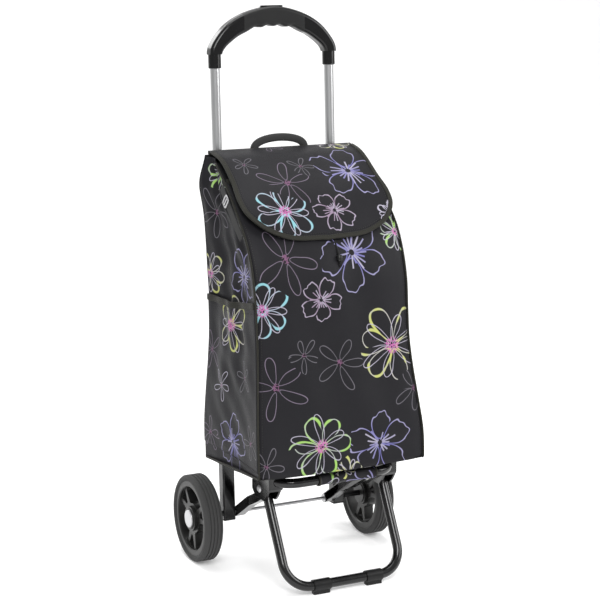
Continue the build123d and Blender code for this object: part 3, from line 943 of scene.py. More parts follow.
def seat(x: float, y: float, z: float) -> Vector:
    """The same point, as a vector."""
    return Vector(row_point(x, y, z))


def puff(z: float) -> float:
    """How far the filled bag swells sideways past its back corners."""
    return 10.0 * math.exp(-(((z - 655) / 42) ** 2)) + 4.0 * ease(z, 430, 600) * (1 - ease(z, 640, 694))


def foot_at(y: float) -> float:
    """Height of the bag's sloping foot at a distance from the axle."""
    run = (y - BAG.front(200)) / (BAG.back(200) - BAG.front(200))
    return FOOT_FRONT + (FOOT_BACK - FOOT_FRONT) * run


def front_at(share: float, z: float) -> Point:
    """A point on the bag's front, share from -1 at the left seam to 1 at the right.

    Args:
        share: Place across.
        z: Height in millimetres.

    Returns:
        The point, in metres.
    """
    full = max(0.0, math.cos(share * math.pi / 2)) ** 0.8
    wave = 1.6 * math.sin(z / 34 + share * 2.2) + 1.5 * math.sin(share * 9 + z / 60)
    tuck = 3.0 * math.exp(-(((z - 224) / 12) ** 2)) + 2.0 * math.exp(-(((z - 480) / 20) ** 2))
    calm = 1 - ease(z, 560, 600) * 0.75
    push = (6.5 * ease(z, FOOT_FRONT, 330) * calm + wave * ease(z, FOOT_FRONT, 250) * calm - tuck) * full
    corner = SEAM_ROUND * abs(share) ** 12
    sag = 2.5 * full * (1 - ease(z, FOOT_FRONT, 225))
    return row_point(BAG.half(z) * share, BAG.front(z) - push + corner, z - sag)


def side_at(hand: int, share: float, z: float) -> Point:
    """A point on a side panel, share from 0 at the front seam to 1 at the back.

    Args:
        hand: -1 for the left, 1 for the right.
        share: Place across.
        z: Height in millimetres.

    Returns:
        The point, in metres.
    """
    full = math.sin(min(1.0, max(0.0, share)) * math.pi) ** 0.9
    folds = 3.4 * math.sin(share * 11 + z / 90) + 2.0 * math.sin(share * 23 - z / 55 + 1.4)
    draw = 2.6 * math.sin((z - 200) / 47 + share * 3.0)
    ripple = 1.2 * math.sin(share * 17 + z / 13) * ease(z, 470, 560) + 0.8 * math.sin(z / 9 - share * 21)
    pull = (4.0 + 6.0 * ease(z, 330, 560) + folds * ease(z, 260, 420) + draw + ripple) * full
    front, back = BAG.front(z) + SEAM_ROUND, BAG.back(z)
    sag = 5.0 * full * (1 - ease(z, 190, 225))
    out = puff(z) * ease(share, 0.15, 0.95)
    return row_point(hand * (BAG.half(z) - pull + out), front + (back - front) * share, z - sag)


@dataclass(frozen=True)
class Bag:
    """The shell of the bag, with its seams, pocket, tape and gathered collar.

    Attributes:
        cloth: Thickness of the printed cloth, in metres.
        lining: Thickness of the gathered lining, in metres.
        columns: Grid steps across a panel.
        rows: Grid steps up a panel.
        pocket_foot: Height of the pocket's foot, in millimetres.
        floor_half: Half the floor's width, in millimetres.
        mouth: Middle of the gathered mouth, in millimetres from the axle.
        piping: The corner seam's section, in metres.
        foot_tape: The foot binding's section.
        hem_tape: The front hem's section.
        pocket_tape: The pocket hem's section.
    """

    cloth: float = 0.0012
    lining: float = 0.0008
    columns: int = 49
    rows: int = 90
    pocket_foot: float = 212.0
    floor_half: float = 150.0
    mouth: Point = (0.0, -44.0, 662.0)
    piping: tuple[float, float] = (0.0034, 0.0034)
    foot_tape: tuple[float, float] = (0.005, 0.0034)
    hem_tape: tuple[float, float] = (0.010, 0.0030)
    pocket_tape: tuple[float, float] = (0.011, 0.0030)

    def build(self) -> None:
        """Sew the bag together."""
        self._front()
        for hand, side in ((-1, "left"), (1, "right")):
            self._side(hand, side)
            self._piping(hand, side)
        self._back()
        self._floor()
        self._pocket()
        self._collar()
        self._hems()

    def _panel(self, piece: bpy.types.Object) -> None:
        """Give a panel its body.

        Args:
            piece: The panel.
        """
        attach(piece, "bag")

    def _print_place(self, share: float, z: float) -> tuple[float, float]:
        """A side's place on the flat cloth, share from its front seam to its back."""
        return ((BAG.front(z) * (1 - share) + BAG.back(z) * share) * MM, z * MM)

    def _front(self) -> None:
        """The printed front."""
        piece = sheet_mesh(
            "bag_front_cloth", FRONT_PRINT, front_at,
            lambda share, z: (share * BAG.half(z) * MM, z * MM),
            spread(-1, 1, self.columns), spread(FOOT_FRONT, FRONT_TOP, self.rows), self.cloth,
        )
        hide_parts("bag_front")
        self._panel(piece)

    def _side(self, hand: int, side: str) -> None:
        """A printed side, its foot level and its top sloped up to the back.

        Args:
            hand: -1 for the left, 1 for the right.
            side: The side's name.
        """

        def height(share: float, v: float) -> float:
            """Height at a share of the way up."""
            foot = FOOT_FRONT + (FOOT_BACK - FOOT_FRONT) * share
            return foot + (SIDE_TOP - foot) * v

        across = spread(1, 0, self.columns) if hand < 0 else spread(0, 1, self.columns)
        piece = sheet_mesh(
            f"bag_{side}_cloth", SIDE_PRINT,
            lambda share, v: side_at(hand, share, height(share, v)),
            lambda share, v: self._print_place(share, height(share, v)),
            across, spread(0, 1, self.rows), self.cloth,
        )
        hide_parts(f"bag_side_{side}")
        self._panel(piece)

    def _back(self) -> None:
        """The plain back, flat against the uprights."""
        piece = sheet_mesh(
            "bag_back_cloth", LINING,
            lambda share, z: row_point(
                share * (BAG.half(z) + puff(z)), BAG.back(z) - 2.0 * math.cos(share * 1.57), z,
            ),
            lambda share, z: (share * BAG.half(z) * MM, z * MM),
            spread(1, -1, 31), spread(FOOT_BACK, 697, self.rows), self.cloth,
        )
        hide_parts("bag_back")
        self._panel(piece)

    def _floor(self) -> None:
        """The board-stiffened floor, sagging a little over the loop."""

        def place(share: float, run: float) -> Point:
            """A point on the floor.

            Args:
                share: Place across.
                run: Place from front to back.

            Returns:
                The point, in metres.
            """
            front, back = BAG.front(200) + 1.0, BAG.back(190)
            full = math.cos(share * math.pi / 2) * math.sin(run * math.pi)
            y = front + (back - front) * run
            return row_point(share * self.floor_half, y, foot_at(y) - 2.0 * full)

        piece = sheet_mesh(
            "bag_floor_cloth", TAPE_BLACK, place,
            lambda share, run: (share * self.floor_half * MM, run * 0.22),
            spread(1, -1, 25), spread(0, 1, 25), self.cloth,
        )
        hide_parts("bag_floor")
        self._panel(piece)

    def _piping(self, hand: int, side: str) -> None:
        """The piped seam down a front corner, and round the foot of the side.

        Args:
            hand: -1 for the left, 1 for the right.
            side: The side's name.
        """
        path = []
        for z in spread(FOOT_FRONT + 1, SIDE_TOP - 8, 110):
            path.append(seat(hand * BAG.half(z), BAG.front(z) + 3.2, z))
        out = Vector((hand, -0.8, 0.0)).normalized()
        piece = ribbon(f"corner_piping_{side}", TAPE_OLIVE, path, out, oval(*self.piping, 10))
        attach(piece, "bag")
        across = hand * (BAG.half(200) - 0.5)
        foot = [seat(across, y, foot_at(y) + 1.0) for y in spread(-222, -8, 40)]
        out = Vector((hand, 0.0, -0.6)).normalized()
        piece = ribbon(f"foot_binding_{side}", TAPE_OLIVE, foot, out, oval(*self.foot_tape, 10))
        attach(piece, "bag")
        proud = Vector((0, -0.0004, 0))
        inner = [Vector(front_at(hand * 0.955, z)) + proud for z in spread(FOOT_FRONT + 8, 600, 110)]
        stitches(f"corner_stitches_{side}", inner, Vector((0, -1, 0)), "bag")

    def _pocket(self) -> None:
        """The open pocket on the left side, with a bound hem."""

        def height(share: float, v: float) -> float:
            """Height at a share of the way up to the drooping hem."""
            hem = 476.0 - 17.0 * share - 5.0 * math.sin(share * math.pi)
            return self.pocket_foot + (hem - self.pocket_foot) * v

        def place(share: float, v: float) -> Point:
            """A point on the pocket, which stands off the side.

            Args:
                share: Place across.
                v: Share of the way up.

            Returns:
                The point, in metres.
            """
            x, y, z = side_at(-1, share, height(share, v))
            lift = 0.0016 + 0.0065 * math.sin(share * math.pi) * ease(v, 0.35, 1.0)
            return (x - lift, y, z)

        piece = sheet_mesh(
            "side_pocket_cloth", SIDE_PRINT, place,
            lambda share, v: self._print_place(share, height(share, v)),
            spread(1, 0, self.columns), spread(0, 1, 60), self.cloth,
        )
        out = Vector((-1, 0, 0))
        path = [Vector(place(s, 1.0)) + out * 0.0004 for s in spread(0.0, 1.0, 60)]
        binding = ribbon("pocket_hem", TAPE_OLIVE, path, out, oval(*self.pocket_tape, 14, 4.0))
        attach(binding, "bag")
        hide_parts("side_pocket")
        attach(piece, "bag")
        sewn = [Vector(place(s, 0.955)) + out * 0.0003 for s in spread(0.02, 0.98, 70)]
        stitches("pocket_stitches", sewn, out, "bag")

    def _collar(self) -> None:
        """The gathered lining that closes the bag's mouth below the flap."""

        rim = [Vector(front_at(share, FRONT_TOP)) for share in spread(-0.98, 0.98, 70)]
        rim += [Vector(side_at(1, 0.02, z)) for z in spread(FRONT_TOP, SIDE_TOP - 6, 16)[1:]]
        rim += [seat(x, 6.0, SIDE_TOP - 6) for x in spread(130, -130, 90)]
        rim += [Vector(side_at(-1, 0.02, z)) for z in spread(SIDE_TOP - 6, FRONT_TOP, 16)[1:-1]]
        mouth = seat(*self.mouth)

        def place(u: float, v: float) -> Point:
            """A point on the gathers, from the rim towards the mouth.

            Args:
                u: Place round the rim.
                v: Share of the way in.

            Returns:
                The point, in metres.
            """
            here = rim[int(u) % len(rim)]
            gather = 3.0 * MM * math.sin(u * 0.9) * ease(v, 0.0, 0.5)
            spot = here.lerp(mouth, 0.5 * v)
            return (spot.x, spot.y + gather * 0.7, spot.z + gather - 9 * MM * ease(v, 0.0, 1.0))

        piece = sheet_mesh(
            "drawn_collar", LINING, place, lambda u, v: (u * 0.0036, v * 0.06),
            list(range(len(rim) + 1)), spread(0, 1, 14), self.lining,
        )
        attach(piece, "bag")

    def _hems(self) -> None:
        """The bound top edge of the front."""
        path = [Vector(front_at(s, FRONT_TOP)) for s in spread(-0.97, 0.97, 50)]
        out = Vector((0, -0.9, 0.4))
        piece = ribbon("front_hem", TAPE_OLIVE, path, out, oval(*self.hem_tape, 14, 4.0))
        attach(piece, "bag")


# ------------------------------------------------------------------ the flap
@dataclass(frozen=True)
class Flap:
    """The printed cover, hinged along the bag's back edge.

    Attributes:
        half: Half its width, in millimetres.
        skew: How far its free end leans to the right, in millimetres.
        thickness: Of the cloth, in metres.
        fall: Stations (y from the axle, z) down its middle.
        edge: Stations (half width, distance down) round its free edge.
        binding: The bound edge's section, in metres.
        binding_set: How far its middle is set in from the edge, in millimetres.
        stitch_rows: Two rows of stitches, as (distance in, height above the cloth).
        hinge_tape: The hinge tape's section, in metres.
        hinge: The hinge tape's half length, y from the axle and height.
    """

    half: float = 132.0
    skew: float = 4.0
    thickness: float = 0.0021
    fall: tuple[tuple[float, float], ...] = (
        (9, 703), (-32, 694), (-80, 668), (-118, 639), (-149, 602), (-167, 569),
    )
    edge: tuple[tuple[float, float], ...] = (
        (132, 0), (132, 60), (133, 105), (136, 145), (133, 170), (115, 198), (80, 218), (0, 227),
    )
    binding: tuple[float, float] = (0.0078, 0.0042)
    binding_set: float = 2.6
    stitch_rows: tuple[tuple[float, float], tuple[float, float]] = ((9.5, 0.1), (5.4, 1.6))
    hinge_tape: tuple[float, float] = (0.0086, 0.0066)
    hinge: Point = (132.5, 10.4, 700.0)

    @staticmethod
    def smoothed(stations: Sequence[tuple[float, float]], count: int) -> list[tuple[float, float]]:
        """Points evenly spaced on a smooth curve through the stations.

        Args:
            stations: The curve's stations.
            count: How many points.

        Returns:
            The points.
        """
        reach = travelled(stations)
        first = Smooth([(r, a) for r, (a, _) in zip(reach, stations)])
        second = Smooth([(r, b) for r, (_, b) in zip(reach, stations)])
        return [(first(r), second(r)) for r in spread(0, reach[-1], count)]

    @cached_property
    def outline(self) -> list[tuple[float, float]]:
        """Half the flap's width and the distance along it, round its free edge."""
        return self.smoothed(self.edge, 240)

    def edge_half(self, along: float) -> float:
        """Half the flap's width at a distance along it.

        Args:
            along: Distance from the hinge, in millimetres.

        Returns:
            Half the width there.
        """
        reached = [(s, x) for x, s in self.outline]
        for (s0, x0), (s1, x1) in zip(reached, reached[1:]):
            if s0 <= along <= s1 and s1 > s0:
                return x0 + (x1 - x0) * (along - s0) / (s1 - s0)
        return 0.0

    @cached_property
    def surface(self) -> tuple[list[tuple[float, float]], list[float], list[tuple[float, float]]]:
        """The middle line, the distance along it, and its outward normals.

        Returns:
            The line's points as (y, z), their distances, and their normals.
        """
        line = self.smoothed(self.fall, 110)
        normals = []
        for k in range(len(line)):
            (y0, z0), (y1, z1) = line[max(0, k - 1)], line[min(len(line) - 1, k + 1)]
            run = math.hypot(y1 - y0, z1 - z0)
            normals.append(((z1 - z0) / run, -(y1 - y0) / run))
        return line, travelled(line), normals

    def point(self, k: int, x: float, out: float = 0.0) -> Point:
        """A point on the flap.

        Args:
            k: Place along the middle line.
            x: Place across, in millimetres.
            out: Height above the cloth, in millimetres.

        Returns:
            The point, in metres.
        """
        line, reach, normals = self.surface
        y, z = line[k]
        ny, nz = normals[k]
        share = abs(x) / self.half
        free = ease(reach[k], 8, 60)
        crown = -3.0 * share**4 * free
        ripple = 1.3 * math.sin(x / 21 + reach[k] / 30) * free * (0.25 + 0.75 * share)
        ripple += 1.6 * math.sin(reach[k] / 26 + (1.2 if x > 0 else 0.0)) * free * share**3
        up = crown + ripple + out
        aside = self.skew * (reach[k] / reach[-1]) ** 2
        return row_point(x + aside, y + ny * up, z + nz * up)

    def build(self) -> None:
        """Sew the flap, its binding, its stitching and its hinge tape."""
        line, reach, _ = self.surface
        end = max(s for _, s in self.outline)
        rows = [k for k in range(len(line)) if reach[k] < end - 0.3]
        shares = spread(-1, 1, 67)
        halves = [self.edge_half(reach[k]) for k in rows]
        build = bmesh.new()
        layer = build.loops.layers.uv.new("cloth")
        grid = []
        for k, half in zip(rows, halves):
            grid.append([build.verts.new(self.point(k, share * half)) for share in shares])
        for j in range(len(rows) - 1):
            for i in range(len(shares) - 1):
                corners = [(i, j), (i, j + 1), (i + 1, j + 1), (i + 1, j)]
                face = build.faces.new([grid[b][a] for a, b in corners])
                for loop, (a, b) in zip(face.loops, corners):
                    loop[layer].uv = (shares[a] * halves[b] * MM, reach[rows[b]] * MM)
        bmesh.ops.recalc_face_normals(build, faces=build.faces)
        if sum(face.normal.z for face in build.faces) < 0:
            bmesh.ops.reverse_faces(build, faces=build.faces)
        piece = thicken(finish_mesh("flap_cloth", build, FLAP_PRINT), self.thickness)
        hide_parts("flap")
        binding = self._binding()
        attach(piece, "flap")
        for name, row in zip(("inner", "edge"), self.stitch_rows):
            stitches(f"flap_stitches_{name}", *self._edge(*row), "flap")
        self._seam()

    def _edge(self, inset: float, out: float) -> tuple[list[Vector], list[Vector]]:
        """Points along the flap's free edge, set in by so much.

        Args:
            inset: Distance in from the edge, in millimetres.
            out: Height above the cloth, in millimetres.

        Returns:
            The points from the right hinge corner round to the left, and the normals.
        """
        _, reach, normals = self.surface
        right = [spot for spot in self.outline if spot[1] > 7.0]
        left = [(-x, s) for x, s in reversed(right[:-1])]
        loop = right + left
        spots, outs = [], []
        for k, (x, s) in enumerate(loop):
            (x0, s0), (x1, s1) = loop[max(0, k - 1)], loop[min(len(loop) - 1, k + 1)]
            run = math.hypot(x1 - x0, s1 - s0) or 1.0
            inward_x, inward_s = -(s1 - s0) / run, (x1 - x0) / run
            x_in, s_in = x + inward_x * inset, s + inward_s * inset
            row = min(range(len(reach)), key=lambda r: abs(reach[r] - s_in))
            low = max(0, min(len(reach) - 2, row if reach[row] <= s_in else row - 1))
            t = (s_in - reach[low]) / (reach[low + 1] - reach[low])
            first = Vector(self.point(low, x_in, out))
            spots.append(first.lerp(Vector(self.point(low + 1, x_in, out)), t))
            outs.append(Vector((0.0, normals[low][0], normals[low][1])))
        return spots, outs

    def _binding(self) -> bpy.types.Object:
        """Fold a tape over the flap's free edge.

        Returns:
            The piece.
        """
        spots, outs = self._edge(self.binding_set, -0.4)
        piece = ribbon("flap_binding", TAPE_OLIVE, spots, outs, oval(*self.binding, 16, 5.0))
        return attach(piece, "flap")

    def _seam(self) -> None:
        """The tape that hinges the flap to the bag."""
        reach, y, z = self.hinge
        path = [seat(x, y, z) for x in spread(-reach, reach, 60)]
        out = Vector((0, -0.25, 1.0)).normalized()
        piece = ribbon("flap_hinge_tape", TAPE_OLIVE, path, out, oval(*self.hinge_tape, 14, 3.0))
        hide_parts("flap_seam")
        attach(piece, "bag")


# ------------------------------------------------------------------ tapes, handle and cord
@dataclass(frozen=True)
class Trim:
    """The carry handle, the side straps, the cord and the platform's wrap.

    Places are in millimetres, with y from the axle, and sections in metres.

    Attributes:
        handle_half: Half the span of the carry handle.
        handle_ends: Height of its ends.
        handle_rise: How high it arches above them.
        handle_section: Its section.
        tab_section: The section of its sewn ends.
        strap_top: A side strap's upper end, as (y, z).
        strap_foot: Its lower end.
        strap_out: Its distance from the middle of the bag.
        strap_section: Its section.
        slider_half: Half the slider's length and width.
        slider_out: Its distance from the middle of the bag.
        cord_route: Points along the drawstring's tail.
        cord_thickness: Its diameter, in metres.
        loop_front: The platform loop's front run, as (y, z).
        wrap_left: The wrap's left end.
        wrap_width: Its width along the loop.
    """

    handle_half: float = 47.0
    handle_ends: float = 699.0
    handle_rise: float = 20.0
    handle_section: tuple[float, float] = (0.0092, 0.0132)
    tab_section: tuple[float, float] = (0.024, 0.0030)
    strap_top: tuple[float, float] = (-58.0, 652.0)
    strap_foot: tuple[float, float] = (-136.0, 578.0)
    strap_out: float = 139.4
    strap_section: tuple[float, float] = (0.016, 0.0018)
    slider_half: tuple[float, float] = (6.2, 9.4)
    slider_out: float = 142.4
    cord_route: tuple[Point, ...] = (
        (14, -152, 578), (14, -158.2, 571), (14.5, -164.5, 560), (15, -175, 548), (14, -181.5, 533),
    )
    cord_thickness: float = 0.004
    loop_front: tuple[float, float] = (-205.0, 182.0)
    wrap_left: float = -38.0
    wrap_width: float = 106.0

    def build(self) -> None:
        """Make every tape and cord."""
        self._carry_handle()
        for hand, side in ((-1, "left"), (1, "right")):
            self._strap(hand, side)
        self._cord()
        self._wrap()

    def _carry_handle(self) -> None:
        """The padded grab handle behind the flap, with its sewn ends."""
        path = []
        for t in spread(-1, 1, 61):
            bend = t * math.pi / 2
            rise = self.handle_rise * math.cos(bend) ** 0.8
            path.append(seat(self.handle_half * math.sin(bend), 16.9, self.handle_ends + rise))
        outs = []
        for before, after in zip([path[0], *path], [*path[1:], path[-1]]):
            ahead = (after - before).normalized()
            outs.append(Vector((-ahead.z, 0.0, ahead.x)))
        section = oval(*self.handle_section, 18, 2.8)
        piece = ribbon("carry_handle_pad", TAPE_BLACK, path, outs, section)
        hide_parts("carry_handle", "carry_handle_tabs")
        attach(piece, "bag")
        for hand, side in ((-1, "left"), (1, "right")):
            middle, out = hand * self.handle_half, Vector((0, 1, 0))
            tab = [seat(middle, 14.6, z) for z in spread(674, 700, 14)]
            section = oval(*self.tab_section, 16, 6.0)
            made = ribbon(f"carry_handle_tab_{side}", TAPE_BLACK, tab, out, section)
            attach(made, "bag")
            corners = ((-9.5, 677), (9.5, 677), (9.5, 692), (-9.5, 692), (-9.5, 677), (9.5, 692))
            box = [seat(middle + x, 16.2, z) for x, z in corners]
            stitches(f"tab_stitches_{side}", box, out, "bag", 0.0034)

    def _strap(self, hand: int, side: str) -> None:
        """A side strap that holds the flap's corner down, with its slider.

        Args:
            hand: -1 for the left, 1 for the right.
            side: The side's name.
        """
        upper, lower = Vector(self.strap_top), Vector(self.strap_foot)
        ahead = (lower - upper).normalized()
        out = Vector((hand, 0, 0))
        path = []
        for t in spread(0, 1, 40):
            spot = upper.lerp(lower, t)
            bow = 1.4 * math.sin(t * math.pi) + 0.4 * math.sin(t * 9)
            path.append(seat(hand * (self.strap_out + bow), spot.x, spot.y))
        piece = ribbon(f"side_strap_{side}", TAPE_BLACK, path, out, oval(*self.strap_section, 16, 6.0))
        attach(piece, "bag")
        middle = upper.lerp(lower, 0.28)
        long_half, wide_half = self.slider_half
        path = []
        for turn in turns(40):
            c, s = math.cos(turn), math.sin(turn)
            a = math.copysign(abs(c) ** 0.35, c) * long_half
            b = math.copysign(abs(s) ** 0.35, s) * wide_half
            y = middle.x + ahead.x * a - ahead.y * b
            z = middle.y + ahead.y * a + ahead.x * b
            path.append(seat(hand * self.slider_out, y, z))
        section = oval(0.0034, 0.0028, 10)
        made = ribbon(f"strap_slider_{side}", STEEL_BRIGHT, path, out, section, closed=True)
        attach(made, "bag")
        bar, across = [], hand * (self.slider_out + 0.2)
        for b in spread(-8.8, 8.8, 12):
            bar.append(seat(across, middle.x - ahead.y * b, middle.y + ahead.x * b))
        rod = ribbon(f"strap_slider_bar_{side}", STEEL_BRIGHT, bar, out, oval(0.0032, 0.0026, 10))
        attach(rod, "bag")
        if hand < 0:
            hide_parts("side_straps")
            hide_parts("strap_sliders")

    def _cord(self) -> None:
        """The drawstring's tail, with its lock, its end knot and its eyelet."""
        route = self.cord_route
        curve = bpy.data.curves.new("drawstring_cord", "CURVE")
        curve.dimensions = "3D"
        curve.bevel_depth = self.cord_thickness / 2
        curve.bevel_resolution = 6
        curve.resolution_u = 24
        curve.use_fill_caps = True
        line = curve.splines.new("NURBS")
        line.points.add(len(route) - 1)
        for point, spot in zip(line.points, route):
            point.co = (*row_point(*spot), 1.0)
        line.order_u = 3
        line.use_endpoint_u = True
        cord = bpy.data.objects.new("drawstring_cord", curve)
        bpy.context.scene.collection.objects.link(cord)
        curve.materials.append(CORD.material())
        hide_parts("drawstring")
        knot = self._knot(seat(14, -181.9, 530.6))
        lock = self._lock(seat(14.6, -178.3, 541.2), Vector((0.0, -0.38, -0.92)))
        ring = self._eyelet(seat(14, -151.0, 578.0), Vector((0.0, -0.857, 0.514)))
        row_point(*route[0])
        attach(cord, "bag")

    def _knot(self, middle: Vector) -> bpy.types.Object:
        """A small overhand knot with three crossing turns.

        Args:
            middle: Its middle.

        Returns:
            The piece.
        """
        path = []
        for turn in turns(72):
            x = math.sin(turn) + 2 * math.sin(2 * turn)
            y = math.cos(turn) - 2 * math.cos(2 * turn)
            z = -math.sin(3 * turn)
            path.append(middle + Vector((x, z * 1.3, y)) * 0.00072)
        out = Vector((0.3, -1.0, 0.2))
        piece = ribbon("drawstring_knot", CORD, path, out, oval(0.0022, 0.0022, 8), closed=True)
        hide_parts("cord_knot")
        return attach(piece, "bag")

    def _lock(self, middle: Vector, axis: Vector) -> bpy.types.Object:
        """The spring cord lock: a ribbed barrel with a plunger.

        Args:
            middle: Its middle.
            axis: The direction of its barrel.

        Returns:
            The piece.
        """
        axis = axis.normalized()
        side = axis.cross(Vector((1, 0, 0))).normalized()
        across = axis.cross(side).normalized()
        profile = (
            (0.0, -5.2), (4.2, -5.2), (5.2, -4.4), (5.7, -3.0), (5.7, 1.6),
            (5.2, 2.4), (4.3, 2.8), (4.3, 5.0), (3.4, 5.6), (0.0, 5.6),
        )
        sides, groove = 28, 0.06
        build = bmesh.new()
        build.loops.layers.uv.new("cloth")
        rings = []
        for radius, height in profile:
            ring = []
            for k, turn in enumerate(turns(sides)):
                grip = 1 - groove * (k % 2) * (1.0 if -4.0 < height < 2.0 else 0.0)
                spot = side * math.cos(turn) + across * math.sin(turn)
                reach = spot * max(radius, 0.05) * grip * MM
                ring.append(build.verts.new(middle + axis * height * MM + reach))
            rings.append(ring)
        for lower, upper in zip(rings, rings[1:]):
            for k in range(sides):
                after = (k + 1) % sides
                build.faces.new([lower[k], lower[after], upper[after], upper[k]])
        bmesh.ops.recalc_face_normals(build, faces=build.faces)
        piece = finish_mesh("drawstring_lock", build, PLASTIC_BLACK)
        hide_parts("cord_lock")
        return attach(piece, "bag")

    def _eyelet(self, middle: Vector, normal: Vector) -> bpy.types.Object:
        """The rolled metal eyelet that the cord comes out of.

        Args:
            middle: Its middle.
            normal: The direction that it faces.

        Returns:
            The piece.
        """
        side = Vector((1, 0, 0))
        up = normal.cross(side).normalized()
        path = [middle + (side * math.cos(turn) + up * math.sin(turn)) * 0.0047 for turn in turns(48)]
        section = oval(0.0024, 0.0022, 10)
        piece = ribbon("drawstring_eyelet", STEEL_BRIGHT, path, normal, section, closed=True)
        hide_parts("cord_eyelet")
        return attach(piece, "bag")

    def _wrap(self) -> None:
        """The printed cloth sewn round the front of the platform loop."""

        loop_y, loop_z = self.loop_front

        def place(u: float, v: float) -> Point:
            """A point on the wrap, once round the loop.

            Args:
                u: Share of the width.
                v: Share of the turn.

            Returns:
                The point, in metres.
            """
            turn = v * FULL_TURN
            radius = 9.3 + 0.5 * math.sin(u * 19 + turn) + 0.35 * math.sin(turn * 3 + u * 8)
            x = self.wrap_left + self.wrap_width * u
            return row_point(x, loop_y - radius * math.sin(turn), loop_z + radius * math.cos(turn))

        piece = sheet_mesh(
            "loop_wrap", FRONT_PRINT, place,
            lambda u, v: ((self.wrap_left + self.wrap_width * u) * MM, (205 + 58 * v) * MM),
            spread(0, 1, 54), spread(1, 0, 33), 0.0009,
        )
        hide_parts("base_strap")
        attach(piece, "base")
        for x, name in ((self.wrap_left + 1, "left"), (self.wrap_left + self.wrap_width - 1, "right")):
            outs = [Vector((0.0, -math.sin(turn), math.cos(turn))) for turn in turns(40)]
            path = [seat(x, loop_y, loop_z) + out * 0.0096 for out in outs]
            section = oval(0.0040, 0.0018, 10)
            edge = ribbon(f"loop_wrap_edge_{name}", TAPE_OLIVE, path, outs, section, closed=True)
            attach(edge, "base")


# ------------------------------------------------------------------ the frame's finishes
@dataclass(frozen=True)
class Metalwork:
    """The CAD parts, dressed by what each is made of."""

    finishes: tuple[tuple[Finish, tuple[str, ...]], ...] = (
        (STEEL_BLACK, (
            "side_arm_left", "side_arm_right", "platform_loop", "stand_leg",
            "upright_left", "upright_right", "cross_bar_lower", "cross_bar_upper",
            "base_bracket_left", "base_bracket_right",
        )),
        (TUBE_SATIN, ("handle_tube_left", "handle_tube_right")),
        (STEEL_BRIGHT, (
            "axle", "axle_clips", "axle_push_nuts", "frame_rivets", "pivot_pins", "lock_pins",
            "push_rods",
        )),
        (RIM_PLASTIC, ("wheel_rim_left", "wheel_rim_right")),
        (TYRE_RUBBER, ("tyre_left", "tyre_right")),
        (CAP_SILVER, ("hub_cap_left", "hub_cap_right")),
        (SOFT_RUBBER, ("grip_sleeve",)),
        (PLASTIC_GLOSS, ("push_button", "grip_elbow_left", "grip_elbow_right")),
    )

    def dress(self) -> None:
        """Put a finish on every solid, plain moulded plastic where no other is named."""
        chosen = {name: finish for finish, names in self.finishes for name in names}
        for name, node in frame["nodes"].items():
            finish = chosen.get(name, PLASTIC_BLACK)
            node.data.materials.clear()
            node.data.materials.append(finish.material())
            LOG.info("%s: %s", name, finish.name)


# ------------------------------------------------------------------ the studio
@dataclass(frozen=True)
class Paper(Finish):
    """Matt studio paper."""

    def dress(self, board: Board) -> None:
        """Almost plain, with a trace of unevenness.

        Args:
            board: The material's board.
        """
        cloud = board.noise(board.place(), 1.5)
        board.set(Base_Color=self.colour, Roughness=self.roughness + cloud * 0.05)
        board.set(Emission_Color=self.colour, Emission_Strength=0.22)


PAPER = Paper("studio_paper", (0.90, 0.90, 0.90), 0.85)


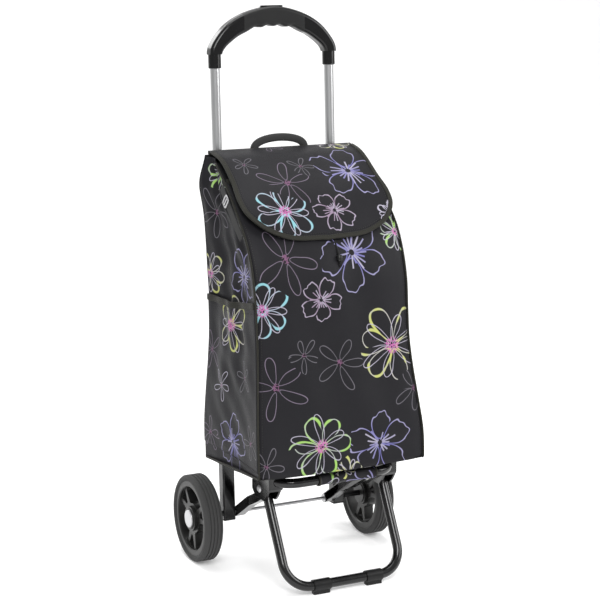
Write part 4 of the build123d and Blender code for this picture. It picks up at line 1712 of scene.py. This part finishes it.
@dataclass(frozen=True)
class Studio:
    """A pale sweep, soft lights and the camera."""

    aim: Point = (0.03091, 0.0855, 0.4379)
    eye: Point = (-1.2828, -2.5817, 1.0534)
    lens: float = 105.76

    def build(self) -> None:
        """Set everything up round the trolley."""
        self._sweep()
        self._light("key_light", (-1.0, -2.4, 2.4), 66.0, 1.4)
        self._light("fill_light", (2.1, -1.3, 1.5), 38.0, 1.4)
        self._light("top_light", (0.1, 0.3, 2.6), 32.0, 1.6)
        self._light("back_light", (-0.7, 2.1, 1.8), 20.0, 1.2)
        self._world()
        self._camera()
        bpy.context.scene.view_settings.view_transform = "Standard"

    def _sweep(self) -> None:
        """A floor that curves up into a wall behind."""
        build = bmesh.new()
        build.loops.layers.uv.new("cloth")
        near, start, bend, top = -4.0, 2.2, 1.2, 4.0
        profile = [(near, 0.0), (start, 0.0)]
        for turn in spread(0, math.pi / 2, 13)[1:]:
            profile.append((start + bend * math.sin(turn), bend - bend * math.cos(turn)))
        profile.append((start + bend, top))
        rows = [[build.verts.new((x, y, z)) for x in (-5.0, 5.0)] for y, z in profile]
        for lower, upper in zip(rows, rows[1:]):
            build.faces.new([lower[0], lower[1], upper[1], upper[0]])
        sweep = finish_mesh("studio_sweep", build, PAPER)

    def _light(self, name: str, place: Point, power: float, size: float) -> None:
        """Hang a soft square light that faces the trolley.

        Args:
            name: Its name.
            place: Where it hangs.
            power: Its power, in watts.
            size: Its width, in metres.
        """
        data = bpy.data.lights.new(name, "AREA")
        data.energy = power
        data.size = size
        lamp = bpy.data.objects.new(name, data)
        bpy.context.scene.collection.objects.link(lamp)
        lamp.location = place
        lamp.rotation_euler = (Vector(self.aim) - Vector(place)).to_track_quat("-Z", "Y").to_euler()

    def _world(self) -> None:
        """Fill the surroundings with pale light."""
        world = bpy.data.worlds.new("studio_world")
        world.use_nodes = True
        sky = next(n for n in world.node_tree.nodes if n.type == "BACKGROUND")
        sky.inputs["Color"].default_value = (1.0, 1.0, 1.0, 1.0)
        sky.inputs["Strength"].default_value = 0.55
        bpy.context.scene.world = world

    def _camera(self) -> None:
        """Look at the trolley from its front left."""
        data = bpy.data.cameras.new("camera")
        data.lens = self.lens
        data.sensor_width = 36.0
        camera = bpy.data.objects.new("camera", data)
        bpy.context.scene.collection.objects.link(camera)
        camera.location = self.eye
        camera.rotation_euler = (Vector(self.aim) - Vector(self.eye)).to_track_quat("-Z", "Y").to_euler()
        bpy.context.scene.camera = camera


def make(maker: "Bag | Flap | Trim | Studio") -> None:
    """Build one sub-assembly and report each piece that it makes.

    Args:
        maker: The sub-assembly.
    """
    before = set(bpy.data.objects.keys())
    maker.build()
    for piece in bpy.data.objects:
        if piece.name not in before:
            slots = getattr(piece.data, "materials", None)
            LOG.info("%s: %s", piece.name, slots[0].name if slots else "studio")


def main() -> None:
    """Dress the frame, sew the bag and light it."""
    logging.basicConfig(level=logging.INFO, format="%(message)s")
    Metalwork().dress()
    for maker in (Bag(), Flap(), Trim(), Studio()):
        make(maker)


if __name__ == "__main__":
    main()
